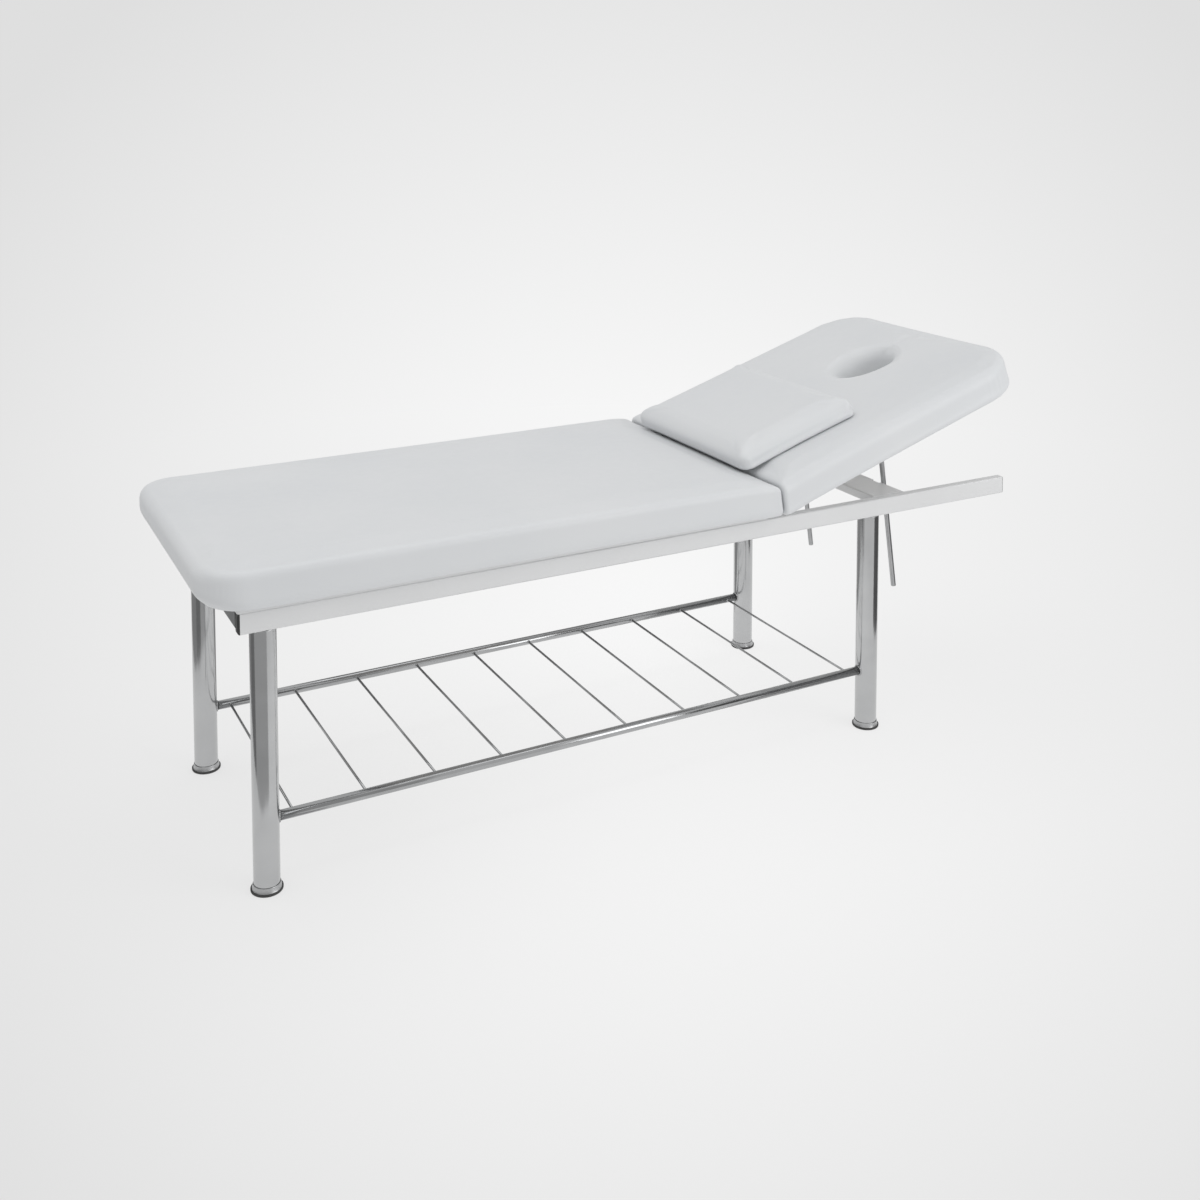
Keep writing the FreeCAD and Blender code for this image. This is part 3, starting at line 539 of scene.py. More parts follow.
class Shader(Nodes):
    """A piece's material: patterns on Object coordinates that feed one surface shader."""

    def __init__(self, name: str) -> None:
        """Start a material with one surface shader.

        Args:
            name: the material's name.
        """
        self.material = bpy.data.materials.new(name)
        self.material.use_nodes = True
        super().__init__(self.material.node_tree)
        self.surface = self.tree.nodes["Principled BSDF"]

    def surface_takes(self, **values: Value) -> None:
        """Fill sockets of the surface shader by name, with spaces written as underscores."""
        for name, value in values.items():
            self.feed(value, self.surface.inputs[name.replace("_", " ")])

    def mapped(self, scale: tuple[float, float, float], vector: Socket | None = None) -> Socket:
        """Coordinates scaled along each axis."""
        return self.add("Mapping", {"Scale": scale, "Vector": vector or self.place}).outputs["Vector"]

    def noise(self, scale: float, detail: float = 2, vector: Socket | None = None) -> Socket:
        """Value of a noise at a scale in cells a metre."""
        inputs = {"Scale": scale, "Detail": detail, "Vector": vector or self.place}
        return self.add("TexNoise", inputs).outputs["Fac"]

    def drift(self, noise: tuple[float, float], low: float = 0, high: float = 1) -> Socket:
        """A noise of some cells a metre and detail, spread over low..high."""
        return self.ranged(self.noise(*noise), low, high)

    def cells(self, scale: float) -> Socket:
        """Distance to the nearest seed of a soft Voronoi pattern."""
        inputs = {"Scale": scale, "Vector": self.place}
        return self.add("TexVoronoi", inputs, feature="SMOOTH_F1").outputs["Distance"]

    def bump(self, *layers: tuple[Socket, float, float]) -> None:
        """Chain bumps on the surface.

        Args:
            layers: a height value, a strength and a depth in metres for each bump.
        """
        normal = {}
        for height, strength, depth in layers:
            node = self.add("Bump", {"Strength": strength, "Distance": depth, "Height": height, **normal})
            normal = {"Normal": node.outputs["Normal"]}
        self.surface_takes(**normal)


@dataclass(frozen=True)
class Finish:
    """A surface whose tone and gloss each drift with a noise, given by its cells a metre and detail.

    A relief is cells a metre, the bump's strength and its depth in metres.
    """

    name: str
    tone: float
    shine: float
    tone_change: tuple[float, float] = (-0.01, 0.01)
    shine_change: tuple[float, float] = (-0.05, 0.08)
    blues: tuple[float, float] = (0.0, 0.0)
    tone_drift: tuple[float, float] = (30.0, 4.0)
    shine_drift: tuple[float, float] = (90.0, 2.0)
    FIXED: ClassVar[dict[str, float]] = {}

    def gloss(self, shader: Shader) -> Socket:
        """The roughness at each point."""
        return shader.drift(self.shine_drift, *(self.shine + change for change in self.shine_change))

    def layers(self, shader: Shader) -> list[tuple[Socket, float, float]]:
        """The bumps of its relief: none, unless a kind of finish gives them."""
        return []

    def build(self) -> Material:
        """Make the material.

        Returns:
            The surface with its drifting tone and gloss, its relief and what its kind fixes.
        """
        shader = Shader(self.name)
        low, high = (grey(self.tone + change, blue) for change, blue in zip(self.tone_change, self.blues))
        colour = shader.mixed(shader.drift(self.tone_drift), low, high)
        shader.surface_takes(Base_Color=colour, Roughness=self.gloss(shader), **self.FIXED)
        shader.bump(*self.layers(shader))
        return shader.material


@dataclass(frozen=True)
class VinylFinish(Finish):
    """Smooth white vinyl: slight waves, pores and a fine grain, under a soft shine."""

    name: str = "vinyl"
    tone: float = 0.685
    shine: float = 0.44
    tone_change: tuple[float, float] = (-0.012, 0.012)
    shine_change: tuple[float, float] = (-0.05, 0.06)
    blues: tuple[float, float] = (0.03, 0.022)
    tone_drift: tuple[float, float] = (3.0, 3.0)
    shine_drift: tuple[float, float] = (55.0, 3.0)
    waves: tuple[float, float, float] = (9.0, 0.25, 0.0012)
    pores: tuple[float, float, float] = (900.0, 0.16, 0.00012)
    grain: tuple[float, float, float] = (2600.0, 0.1, 0.00006)
    FIXED = {"IOR": 1.5, "Specular_IOR_Level": 0.42, "Coat_Weight": 0.06, "Coat_Roughness": 0.35}

    def layers(self, shader: Shader) -> list[tuple[Socket, float, float]]:
        """The bumps of waves, pores and grain.

        Args:
            shader: the material's nodes.

        Returns:
            A height, a strength and a depth for each.
        """
        return [
            (shader.noise(self.waves[0]), *self.waves[1:]),
            (shader.cells(self.pores[0]), *self.pores[1:]),
            (shader.noise(self.grain[0]), *self.grain[1:]),
        ]


@dataclass(frozen=True)
class PaintFinish(Finish):
    """Gloss powder coat with a faint orange peel, in two sizes of cell."""

    name: str = "powder_coat"
    tone: float = 0.72
    shine: float = 0.38
    shine_change: tuple[float, float] = (-0.03, 0.04)
    blues: tuple[float, float] = (0.008, 0.008)
    tone_drift: tuple[float, float] = (6.0, 3.0)
    shine_drift: tuple[float, float] = (25.0, 2.0)
    peel: tuple[float, float, float] = (300.0, 0.06, 0.0001)
    fine_peel: tuple[float, float, float] = (1100.0, 0.04, 0.00004)
    FIXED = {"Coat_Weight": 0.12, "Coat_Roughness": 0.25}

    def layers(self, shader: Shader) -> list[tuple[Socket, float, float]]:
        """The bumps of the peel."""
        return [(shader.noise(layer[0], 1), *layer[1:]) for layer in (self.peel, self.fine_peel)]


@dataclass(frozen=True)
class MetalFinish(Finish):
    """Plated or bare metal: drawn lines along one axis, small change of tone and gloss."""

    tone_change: tuple[float, float] = (-0.03, 0.02)
    shine_change: tuple[float, float] = (-0.02, 0.04)
    blues: tuple[float, float] = (0.01, 0.01)
    tone_drift: tuple[float, float] = (14.0, 3.0)
    stretch: tuple[float, float, float] = (1.0, 1.0, 0.02)
    drawn: tuple[float, float, float] = (900.0, 0.2, 0.00001)
    FIXED = {"Metallic": 1.0}

    def lines(self, shader: Shader) -> Socket:
        """Height of the drawn lines."""
        return shader.noise(self.drawn[0], 2, shader.mapped(self.stretch))

    def gloss(self, shader: Shader) -> Socket:
        """The roughness at each point: it follows the lines and the haze in equal parts."""
        parts = (self.lines(shader), shader.noise(*self.tone_drift))
        both = shader.math("ADD", *(shader.math("MULTIPLY", part, 0.5) for part in parts))
        return shader.ranged(both, *(self.shine + change for change in self.shine_change))

    def layers(self, shader: Shader) -> list[tuple[Socket, float, float]]:
        """The bump of the lines."""
        return [(self.lines(shader), *self.drawn[1:])]


@dataclass(frozen=True)
class PlasticFinish(Finish):
    """Moulded plastic or rubber with a fine spark-eroded texture, paler in worn patches."""

    tone_change: tuple[float, float] = (0.0, 0.018)
    grain: tuple[float, float, float] = (1400.0, 0.3, 0.00008)
    FIXED = {"Specular_IOR_Level": 0.4}

    def layers(self, shader: Shader) -> list[tuple[Socket, float, float]]:
        """The bump of the texture."""
        return [(shader.noise(self.grain[0], 3), *self.grain[1:])]


@dataclass(frozen=True)
class BoardFinish:
    """Plywood whose edges and border are wrapped in the white vinyl that is folded under it."""

    name: str
    low: tuple[float, float]
    high: tuple[float, float]
    tilt: float
    wrap: float = 0.038
    fade: float = 0.0006
    wave: tuple[float, float] = (22.0, 0.012)
    vinyl_tone: float = 0.7
    vinyl_shine: float = 0.45
    vinyl_depth: float = 0.0009
    fold_strength: float = 0.6
    grain: tuple[float, float] = (5.0, 6.0)
    grain_stretch: tuple[float, float, float] = (2.2, 26.0, 26.0)
    grain_relief: tuple[float, float] = (0.2, 0.0002)
    wood_shine: float = 0.72
    light_wood: tuple[float, float, float, float] = (0.54, 0.53, 0.515, 1)
    dark_wood: tuple[float, float, float, float] = (0.44, 0.43, 0.415, 1)

    def build(self) -> Material:
        """Make the material.

        Returns:
            Wood grain inside the border and vinyl on it, parted by a slightly wavy line.
        """
        shader = Shader(self.name)
        rotation = {"Vector": shader.place, "Center": tuple(HINGE), "Angle": self.tilt}
        flat = shader.add("VectorRotate", rotation, rotation_type="Y_AXIS").outputs["Vector"]
        edge = self.edge_distance(shader, flat)
        fold = (self.wrap - self.fade, self.wrap + self.fade)
        bare = shader.ranged(edge, 0, 1, *fold)
        grain = shader.noise(*self.grain, shader.mapped(self.grain_stretch, flat))
        wood = shader.mixed(shader.ranged(grain, 0, 1), self.dark_wood, self.light_wood)
        shader.surface_takes(
            Base_Color=shader.mixed(bare, grey(self.vinyl_tone, 0.008), wood),
            Roughness=shader.ranged(bare, self.vinyl_shine, self.wood_shine, 0, 1),
        )
        step = shader.ranged(edge, self.vinyl_depth, 0, *fold)
        shader.bump((grain, *self.grain_relief), (step, self.fold_strength, 1.0))
        return shader.material

    def edge_distance(self, shader: Shader, flat: Socket) -> Socket:
        """The least distance in from the board's four sides, with the cloth's wavy edge added.

        Args:
            shader: the material's nodes.
            flat: coordinates of the board lying flat.

        Returns:
            The distance's socket, in metres.
        """
        parts = shader.add("SeparateXYZ", {"Vector": flat}).outputs
        least = None
        for name, low, high in zip("XY", self.low, self.high):
            for first, second in ((parts[name], low), (high, parts[name])):
                distance = shader.math("SUBTRACT", first, second)
                least = shader.math("MINIMUM", least, distance) if least else distance
        offset = shader.math("SUBTRACT", shader.noise(self.wave[0], 2, flat), 0.5)
        return shader.math("ADD", least, shader.math("MULTIPLY", offset, self.wave[1]))


def dress(piece: Piece, material: Material) -> None:
    """Give a piece one material."""
    piece.data.materials.clear()
    piece.data.materials.append(material)


def stand_for(piece: Piece, material: Material, node: str) -> None:
    """Dress a piece and let it stand for a CAD node.

    Args:
        piece: the object.
        material: its finish.
        node: the CAD node that it stands for.
    """
    dress(piece, material)
    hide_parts(node)
    log.info("%s: %d faces for %s", piece.name, len(piece.data.polygons), node)


def place(piece: Piece, body: str, slot: Slot, material: Material, node: str) -> None:
    """Let a piece ride on its CAD body, and dress it in place of its node."""
    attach(piece, body)
    stand_for(piece, material, node)


@dataclass
class FaceHole:
    """The oval face hole, in the flat-lying backrest."""

    centre_x: float
    length: float = 0.150
    width: float = 0.102
    rim: float = 0.040
    mouth: float = 1.05
    leans: tuple[float, ...] = (0, 15, 30, 45, 60, 75, 88)
    sides: int = 96

    def cutter(self, bottom: float, top: float) -> Piece:
        """A closed oval plug that flares to a rounded rim at the top.

        The half sizes grow by rim * (1 - cos a) as the height climbs the last rim * sin a.

        Args:
            bottom: height of its lower end.
            top: height of the pad's top face.

        Returns:
            The cutting object.
        """
        lean = np.radians(np.array(self.leans))
        grow = np.concatenate([[0.0], self.rim * (1 - np.cos(lean)), [self.rim * self.mouth]])
        height = np.concatenate([[bottom], top - self.rim + self.rim * np.sin(lean), [top + self.rim]])
        angle = once_round(self.sides)
        x = self.centre_x + (self.length / 2 + grow)[:, None] * np.cos(angle)
        flat = np.stack([x, (self.width / 2 + grow)[:, None] * np.sin(angle)], axis=-1)
        return mesh_piece("face_hole_cutter", *closed_tube(with_third(flat, height, 2)))


@dataclass(frozen=True)
class Roll:
    """A rolled edge: how far it runs in from the end face, and how deep it is."""

    run: float
    depth: float

    def inset(self, height: Array) -> Array:
        """Inset at heights above the roll's start: run * (1 - sqrt(1 - (h / depth)^2))."""
        rise = np.clip(height / self.depth, 0, 1)
        return self.run * (1 - np.sqrt(1 - rise**2))


@dataclass(frozen=True)
class FoamBend:
    """How the two pads' foam bends together over the hinge, pressed against each other."""

    reach: float = 0.08

    def at_rest(self, points: Array) -> Array:
        """Bend flat-lying points to rest: a turn about the hinge by tilt * t^2 (3 - 2t).

        Args:
            points: an (n, 3) array; t is a point's share of the way across the reach.

        Returns:
            The bent points.
        """
        share = np.clip((points[:, 0] - HINGE[0] + self.reach) / (2 * self.reach), 0, 1)
        return turn_about_hinge(points, REST_TILT * share**2 * (3 - 2 * share))

    def hold(self, piece: Piece) -> None:
        """Let the foam follow the frame on one side of the hinge and the backrest on the other.

        Args:
            piece: a pad.
        """
        start = HINGE - [self.reach, 0, 0]
        end = turn_about_hinge((HINGE + [self.reach, 0, 0])[None], REST_TILT)[0]
        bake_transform(piece, "frame", "backrest", tuple(start), tuple(end))


@dataclass
class Cushion:
    """A foam pad in a tight vinyl cover: crowned top, rolled edges, sides drawn in a little.

    low and high are the corners of its space while the backrest lies flat. Rolls, unders and slack are
    those of its foot end, head end and sides. A pad with no body of its own bends across the hinge.
    """

    name: str
    node: str
    low: Array
    high: Array
    corners: tuple[float, float]
    rolls: tuple[Roll, Roll, Roll]
    unders: tuple[Roll, Roll, Roll]
    crown: float = 0.0045
    crown_run: float = 0.12
    draw: float = 0.002
    swell: float = 0.003
    voxel: float = 0.008
    fill: float = 0.8
    body: str = ""
    pressed_share: float = 0.95
    slack: tuple[float, float, float] = (0.002, 0.002, 0.002)
    cutters: list[Callable[[], Piece]] = field(default_factory=list)
    side_steps: int = 36
    corner_steps: int = 12
    under_steps: int = 9
    roll_steps: int = 17
    crown_steps: int = 10
    least_corner: float = 0.009
    held_height: float = 0.006
    cover_frames: int = 20

    def profile(self) -> Array:
        """Insets of the foot end, head end and sides, and the height, at each level.

        The crown rises as 1 - (1 - s)^2 over its run.

        Returns:
            An (n, 4) array.
        """
        thick = self.high[2] - self.low[2] - self.crown
        deepest = max(roll.depth for roll in self.rolls)
        lowest = max(roll.depth for roll in self.unders)
        under = np.radians(np.linspace(0, 90, self.under_steps))
        rise = np.radians(np.linspace(0, 90, self.roll_steps))
        level = np.concatenate([lowest * (1 - np.cos(under)), thick - deepest + deepest * np.sin(rise)])
        insets = [
            under_roll.inset(under_roll.depth - level) + roll.inset(level - thick + roll.depth)
            for under_roll, roll in zip(self.unders, self.rolls)
        ]
        walls = np.stack([*insets, level], axis=-1)
        share = np.linspace(0, 1, self.crown_steps)[1:]
        ends = [roll.run + self.crown_run * share for roll in self.rolls]
        dome = np.stack([*ends, thick + self.crown * (1 - (1 - share) ** 2)], axis=-1)
        return np.concatenate([walls, dome])

    def rings(self) -> Array:
        """Outlines of the pad at each level: four corner arcs, two straight ends and two sides drawn in.

        Returns:
            An (m, n, 3) array, from the under face to the top.
        """
        in_low, in_high, in_side, level = self.profile().T
        x_low, x_high = self.low[0] + in_low, self.high[0] - in_high
        half = (self.high[1] - self.low[1]) / 2 - in_side
        middle = (self.high[1] + self.low[1]) / 2
        first, second = (np.maximum(corner - in_side, self.least_corner) for corner in self.corners)
        arcs = [
            quarter_arcs(centre_x, middle + centre_y, radius, turn, self.corner_steps)
            for centre_x, centre_y, radius, turn in (
                (x_high - second, half - second, second, 0),
                (x_low + first, half - first, first, 90),
                (x_low + first, first - half, first, 180),
                (x_high - second, second - half, second, 270),
            )
        ]
        share = np.linspace(0, 1, self.side_steps + 1)[1:-1]
        bow = self.draw * (1 - (2 * share - 1) ** 2)
        stretches = []
        for arc, after, pull in zip(arcs, arcs[1:] + arcs[:1], (-1.0, 0.0, 1.0, 0.0)):
            start, end = arc[:, -1:], after[:, :1]
            side = start + (end - start) * share[None, :, None] + bow[None, :, None] * [0.0, pull]
            stretches += [arc, side]
        return with_third(np.concatenate(stretches, axis=1), self.low[2] + level, 2)

    def build(self) -> Piece:
        """Make the pad: an even mesh of the drawn shape, its cover swollen, bent or turned to its place.

        Returns:
            The finished piece, not yet dressed.
        """
        drawn = mesh_piece(f"{self.name}_drawn", *closed_tube(self.rings()))
        for cutter in [make() for make in self.cutters]:
            modify(drawn, "BOOLEAN", object=cutter, solver="EXACT")
            bake_modifiers(drawn)
            bpy.data.objects.remove(cutter)
        piece = linked(self.name, drawn.data.copy())
        modify(piece, "REMESH", mode="VOXEL", voxel_size=self.voxel)
        modify(piece, "SMOOTH", factor=0.5, iterations=2)
        bake_modifiers(piece)
        before = read_points(piece.data)
        shift = self.finer(piece.data, before + self.swelling(piece)) - self.finer(piece.data, before)
        modify(piece, "SUBSURF", levels=1, render_levels=1)
        modify(piece, "SHRINKWRAP", target=drawn, wrap_method="NEAREST_SURFACEPOINT")
        bake_modifiers(piece)
        bpy.data.objects.remove(drawn)
        self.settle(piece, read_points(piece.data) + shift)
        return piece

    def finer(self, data: bpy.types.Mesh, points: Array) -> Array:
        """Points of a mesh that is divided once, after its own points are moved.

        Args:
            data: the mesh, which stays as it is.
            points: where its points are taken to be.

        Returns:
            The divided mesh's points.
        """
        copy = linked("finer", data.copy())
        write_points(copy.data, points)
        modify(copy, "SUBSURF", levels=1, render_levels=1)
        bake_modifiers(copy)
        found = read_points(copy.data)
        bpy.data.objects.remove(copy)
        return found

    def swelling(self, piece: Piece) -> Array:
        """Blow the cover up a little as cloth held along the under face, and cap how far it moves.

        Each point moves by d * swell * tanh(|d| / swell) / |d|.

        Args:
            piece: the pad, which keeps its shape.
        """
        rest = read_points(piece.data)
        held = piece.vertex_groups.new(name="held")
        held.add(np.flatnonzero(rest[:, 2] < self.low[2] + self.held_height).tolist(), 1.0, "REPLACE")
        cover = modify(piece, "CLOTH")
        cover.settings.quality = 4
        cover.settings.use_pressure = True
        cover.settings.uniform_pressure_force = 4
        cover.settings.tension_stiffness = 40
        cover.settings.bending_stiffness = 2
        cover.settings.vertex_group_mass = held.name
        cover.settings.effector_weights.gravity = 0
        cover.collision_settings.use_collision = False
        scene = bpy.context.scene
        for step in range(self.cover_frames):
            scene.frame_set(step + 1)
        moved = read_points(piece.evaluated_get(bpy.context.evaluated_depsgraph_get()).data)
        piece.modifiers.clear()
        scene.frame_set(1)
        piece.vertex_groups.clear()
        shift = moved - rest
        reach = np.linalg.norm(shift, axis=1)[:, None]
        return shift * self.swell * np.tanh(reach / self.swell) / np.maximum(reach, TINY)

    def settle(self, piece: Piece, points: Array) -> None:
        """Keep the pad flat on what carries it and clear of its neighbours, and lay it at rest.

        Args:
            piece: the pad.
            points: its points while the backrest lies flat.
        """
        foot, head, sides = self.slack
        inside = np.clip(points, self.low - [foot, sides, 0], self.high + [head, sides, 0])
        laid = turn_about_hinge(inside, REST_TILT) if self.body else FoamBend().at_rest(inside)
        write_points(piece.data, laid)
        shade(piece.data)

    def press(self, piece: Piece) -> None:
        """Give a loose pad its own copy of its mesh; its foot and head ends at rest are worked out but not
        used, so it is not shortened.

        Args:
            piece: the pad, at rest.
        """
        ends = np.array([[self.low[0], 0, self.low[2]], [self.high[0], 0, self.low[2]]])
        foot, head = turn_about_hinge(ends, REST_TILT)
        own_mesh(piece)

    def finish(self, material: Material) -> None:
        """Build it and dress it; it rides on its body, or bends across the hinge.

        Args:
            material: the cover's finish.
        """
        piece = self.build()
        if self.body:
            place(piece, self.body, Slot.VINYL, material, self.node)
            self.press(piece)
        else:
            FoamBend().hold(piece)
            stand_for(piece, material, self.node)


@dataclass
class Upholstery:
    """The seat, the backrest with its face hole, and the loose pillow."""

    vinyl: Material
    knuckle_reach: float = 0.0085
    knuckle_half: float = 0.221
    knuckle_span: tuple[float, float] = (-0.05, 0.008)
    seam: float = 0.0005
    hole_reach: float = 0.5245
    pillow_settle: float = 0.021
    pillow_trim: float = 0.010
    pillow_spread: float = 0.008
    pillow_lift: float = 0.0015

    def knuckle_room(self) -> Piece:
        """A block that leaves room for the hinges under the seam.

        Returns:
            The cutting object, a square prism round the hinge line.
        """
        x, y = self.knuckle_reach, self.knuckle_half
        flat = np.broadcast_to(HINGE[:2] + [[-x, -y], [x, -y], [x, y], [-x, y]], (2, 4, 2))
        return mesh_piece("knuckle_room", *closed_tube(with_third(flat, HINGE[2] + self.knuckle_span, 2)))

    def seat(self) -> Cushion:
        """The seat cushion, up to the seam.

        Returns:
            Its drawing.
        """
        low, high = node_box("seat_cushion")
        high[0] = HINGE[0] - self.seam
        return Cushion(
            "seat_pad", "seat_cushion", low, high, (0.085, 0.009),
            (Roll(0.020, 0.022), Roll(0.050, 0.016), Roll(0.015, 0.016)),
            (Roll(0.044, 0.036), Roll(0.003, 0.006), Roll(0.022, 0.018)),
            voxel=0.010, slack=(0.002, 0.0, 0.002), cutters=[self.knuckle_room],
        )

    def backrest(self) -> Cushion:
        """The backrest cushion with its face hole.

        Returns:
            Its drawing.
        """
        low, high = flat_box("backrest_cushion")
        low[0] = HINGE[0] + self.seam
        hole = FaceHole(HINGE[0] + self.hole_reach)
        return Cushion(
            "backrest_pad", "backrest_cushion", low, high, (0.009, 0.125),
            (Roll(0.018, 0.010), Roll(0.020, 0.022), Roll(0.024, 0.026)),
            (Roll(0.003, 0.006), Roll(0.014, 0.014), Roll(0.010, 0.012)),
            slack=(0.0, 0.002, 0.002),
            cutters=[self.knuckle_room, lambda: hole.cutter(low[2] - hole.rim, high[2])],
        )

    def pillow(self) -> Cushion:
        """The pillow, settled towards the seat, a little shorter and wider than its solid.

        Returns:
            Its drawing.
        """
        low, high = flat_box("pillow")
        low += [-self.pillow_settle, -self.pillow_spread, self.pillow_lift]
        high += [-self.pillow_settle - self.pillow_trim, self.pillow_spread, self.pillow_lift]
        return Cushion(
            "pillow_pad", "pillow", low, high, (0.022, 0.02),
            (Roll(0.034, 0.022), Roll(0.024, 0.020), Roll(0.034, 0.024)),
            (Roll(0.014, 0.020), Roll(0.004, 0.006), Roll(0.004, 0.006)),
            crown=0.005, crown_run=0.09, draw=0.003, swell=0.0035, voxel=0.006, fill=0.7, body="pillow",
        )

    def build(self) -> None:
        """Make all three."""
        for cushion in (self.seat(), self.backrest(), self.pillow()):
            cushion.finish(self.vinyl)


@dataclass
class Leg:
    """A chrome leg tube, open at both ends."""

    end: str
    side: str
    wall: float = 0.002
    lip: float = 0.0008
    sides: int = 96

    def build(self, chrome: Material) -> None:
        """Make the tube: outer wall, rounded rims and inner wall turned about its axis.

        Args:
            chrome: its finish.
        """
        node = f"leg_{self.end}_{self.side}"
        low, high = node_box(node)
        radius, height = (high[0] - low[0]) / 2, high[2] - low[2]
        inner = radius - self.wall
        turns = [(inner, 0), (radius, 0), (radius, height), (inner, height)]
        middle = (inner, height / 2, 0)
        profile = rounded_profile([middle, *((*turn, self.lip) for turn in turns), middle])
        rings = turned_rings(profile[:-1], box_middle(low, high, low[2]), UP, self.sides)
        tube = MeshSum().add_loop(rings).piece(f"leg_tube_{self.end}_{self.side}")
        place(tube, "frame", Slot.CHROME, chrome, node)


@dataclass
class LevellingFoot:
    """A flared steel cup on a threaded stud, over a rubber sole that wraps its rim."""

    end: str
    side: str
    sides: int = 72
    pitch: float = 0.0015
    thread_depth: float = 0.0008
    turn_steps: int = 6
    stud_radius: float = 0.005
    stud_sides: int = 24
    stud_root: float = 0.002
    cup_height: float = 0.0073
    rim_height: float = 0.0014
    rim_round: float = 0.0006
    flare_top: float = 0.0260
    flare_hollow: tuple[float, float] = (0.0010, 0.0034)
    flare_steps: int = 16
    recess: float = 0.0254
    lip_top: float = 0.0152
    fit: float = 0.0001
    sole_wall: float = 0.0014
    sole_rise: float = 0.0022
    sole_hollow: float = 0.0015

    def cup(self, axis: Array, radius: float, base: float, top: float) -> Array:
        """Rings of the cup: an upright rim, a hollow flare up to a thin lip, and a recess for the leg.

        The flare is a quadratic blend of rim, hollow and lip.

        Args:
            axis: the foot of its middle line.
            radius: the rim's.
            base: height of its under face.
            top: height of the recess's floor.

        Returns:
            An (m, sides, 3) array.
        """
        rim_top = base + self.rim_height
        rim = np.array([radius - self.rim_round, rim_top + self.rim_round])
        lip = np.array([self.flare_top, self.lip_top])
        hollow = np.array([self.flare_top + self.flare_hollow[0], rim_top + self.flare_hollow[1]])
        flare = blend_curve(rim, hollow, lip, self.flare_steps)
        lower = rounded_profile(
            [(0, base, 0), (radius, base, 0.0004), (radius, rim_top, self.rim_round), (*rim, 0)]
        )
        crown = rounded_profile(
            [(*lip, 0), (self.recess, self.lip_top, 0.0002), (self.recess, top, 0.0003), (0, top, 0)]
        )
        return turned_rings(np.concatenate([lower[:-1], flare, crown[1:]]), axis, UP, self.sides)

    def stud(self, axis: Array, base: float, top: float) -> Array:
        """Rings of the stud: r = radius - depth * |2 frac(z / pitch - a / 2 pi) - 1|.

        Args:
            axis: the foot of its middle line.
            base: height of its lower end.
            top: height of its upper end.

        Returns:
            An (m, stud_sides, 3) array.
        """
        height = np.linspace(base, top, int((top - base) / self.pitch * self.turn_steps))
        profile = np.stack([np.full_like(height, self.stud_radius), height], axis=-1)
        rings = turned_rings(profile, axis, UP, self.stud_sides)
        turn = np.arange(self.stud_sides) / self.stud_sides
        tooth = np.abs(2 * np.mod(height[:, None] / self.pitch - turn[None], 1.0) - 1)
        centre = np.array(axis, float) + height[:, None, None] * np.array(UP)
        share = 1 - self.thread_depth / self.stud_radius * tooth
        return centre + (rings - centre) * share[:, :, None]

    def build(self, steel: Material, rubber: Material) -> None:
        """Make the cup with its stud, and the sole that wraps its rim.

        Args:
            steel: the cup's finish.
            rubber: the sole's.
        """
        name = f"{self.end}_{self.side}"
        body = f"levelling_foot_{name}"
        low, high = node_box(f"foot_cap_{name}")
        pad_low, pad_high = node_box(f"foot_pad_{name}")
        axis = box_middle(low, high, 0.0)
        radius, height = (high[0] - low[0]) / 2, pad_high[2] - pad_low[2]
        inner, brim, cup_top = radius - self.sole_wall, height + self.sole_rise, low[2] + self.cup_height
        disc = MeshSum().add_rings(self.cup(axis, inner - self.fit, low[2] + self.fit, cup_top))
        disc.add_rings(self.stud(axis, cup_top - self.stud_root, high[2]))
        place(disc.piece(f"foot_disc_{name}"), body, Slot.CHROME, steel, f"foot_cap_{name}")
        profile = rounded_profile(
            [(0, self.sole_hollow, 0), (radius * 0.3, self.sole_hollow, 0.0008), (radius * 0.36, 0, 0.0008),
             (radius * 0.94, 0, 0.001), (radius, height * 0.4, 0.001), (radius, brim, 0.0006),
             (inner, brim, 0.0004), (inner, height, 0.0001), (0, height, 0)]
        )
        sole = MeshSum().add_rings(turned_rings(profile, axis, UP, self.sides))
        place(sole.piece(f"foot_sole_{name}"), body, Slot.RUBBER, rubber, f"foot_pad_{name}")


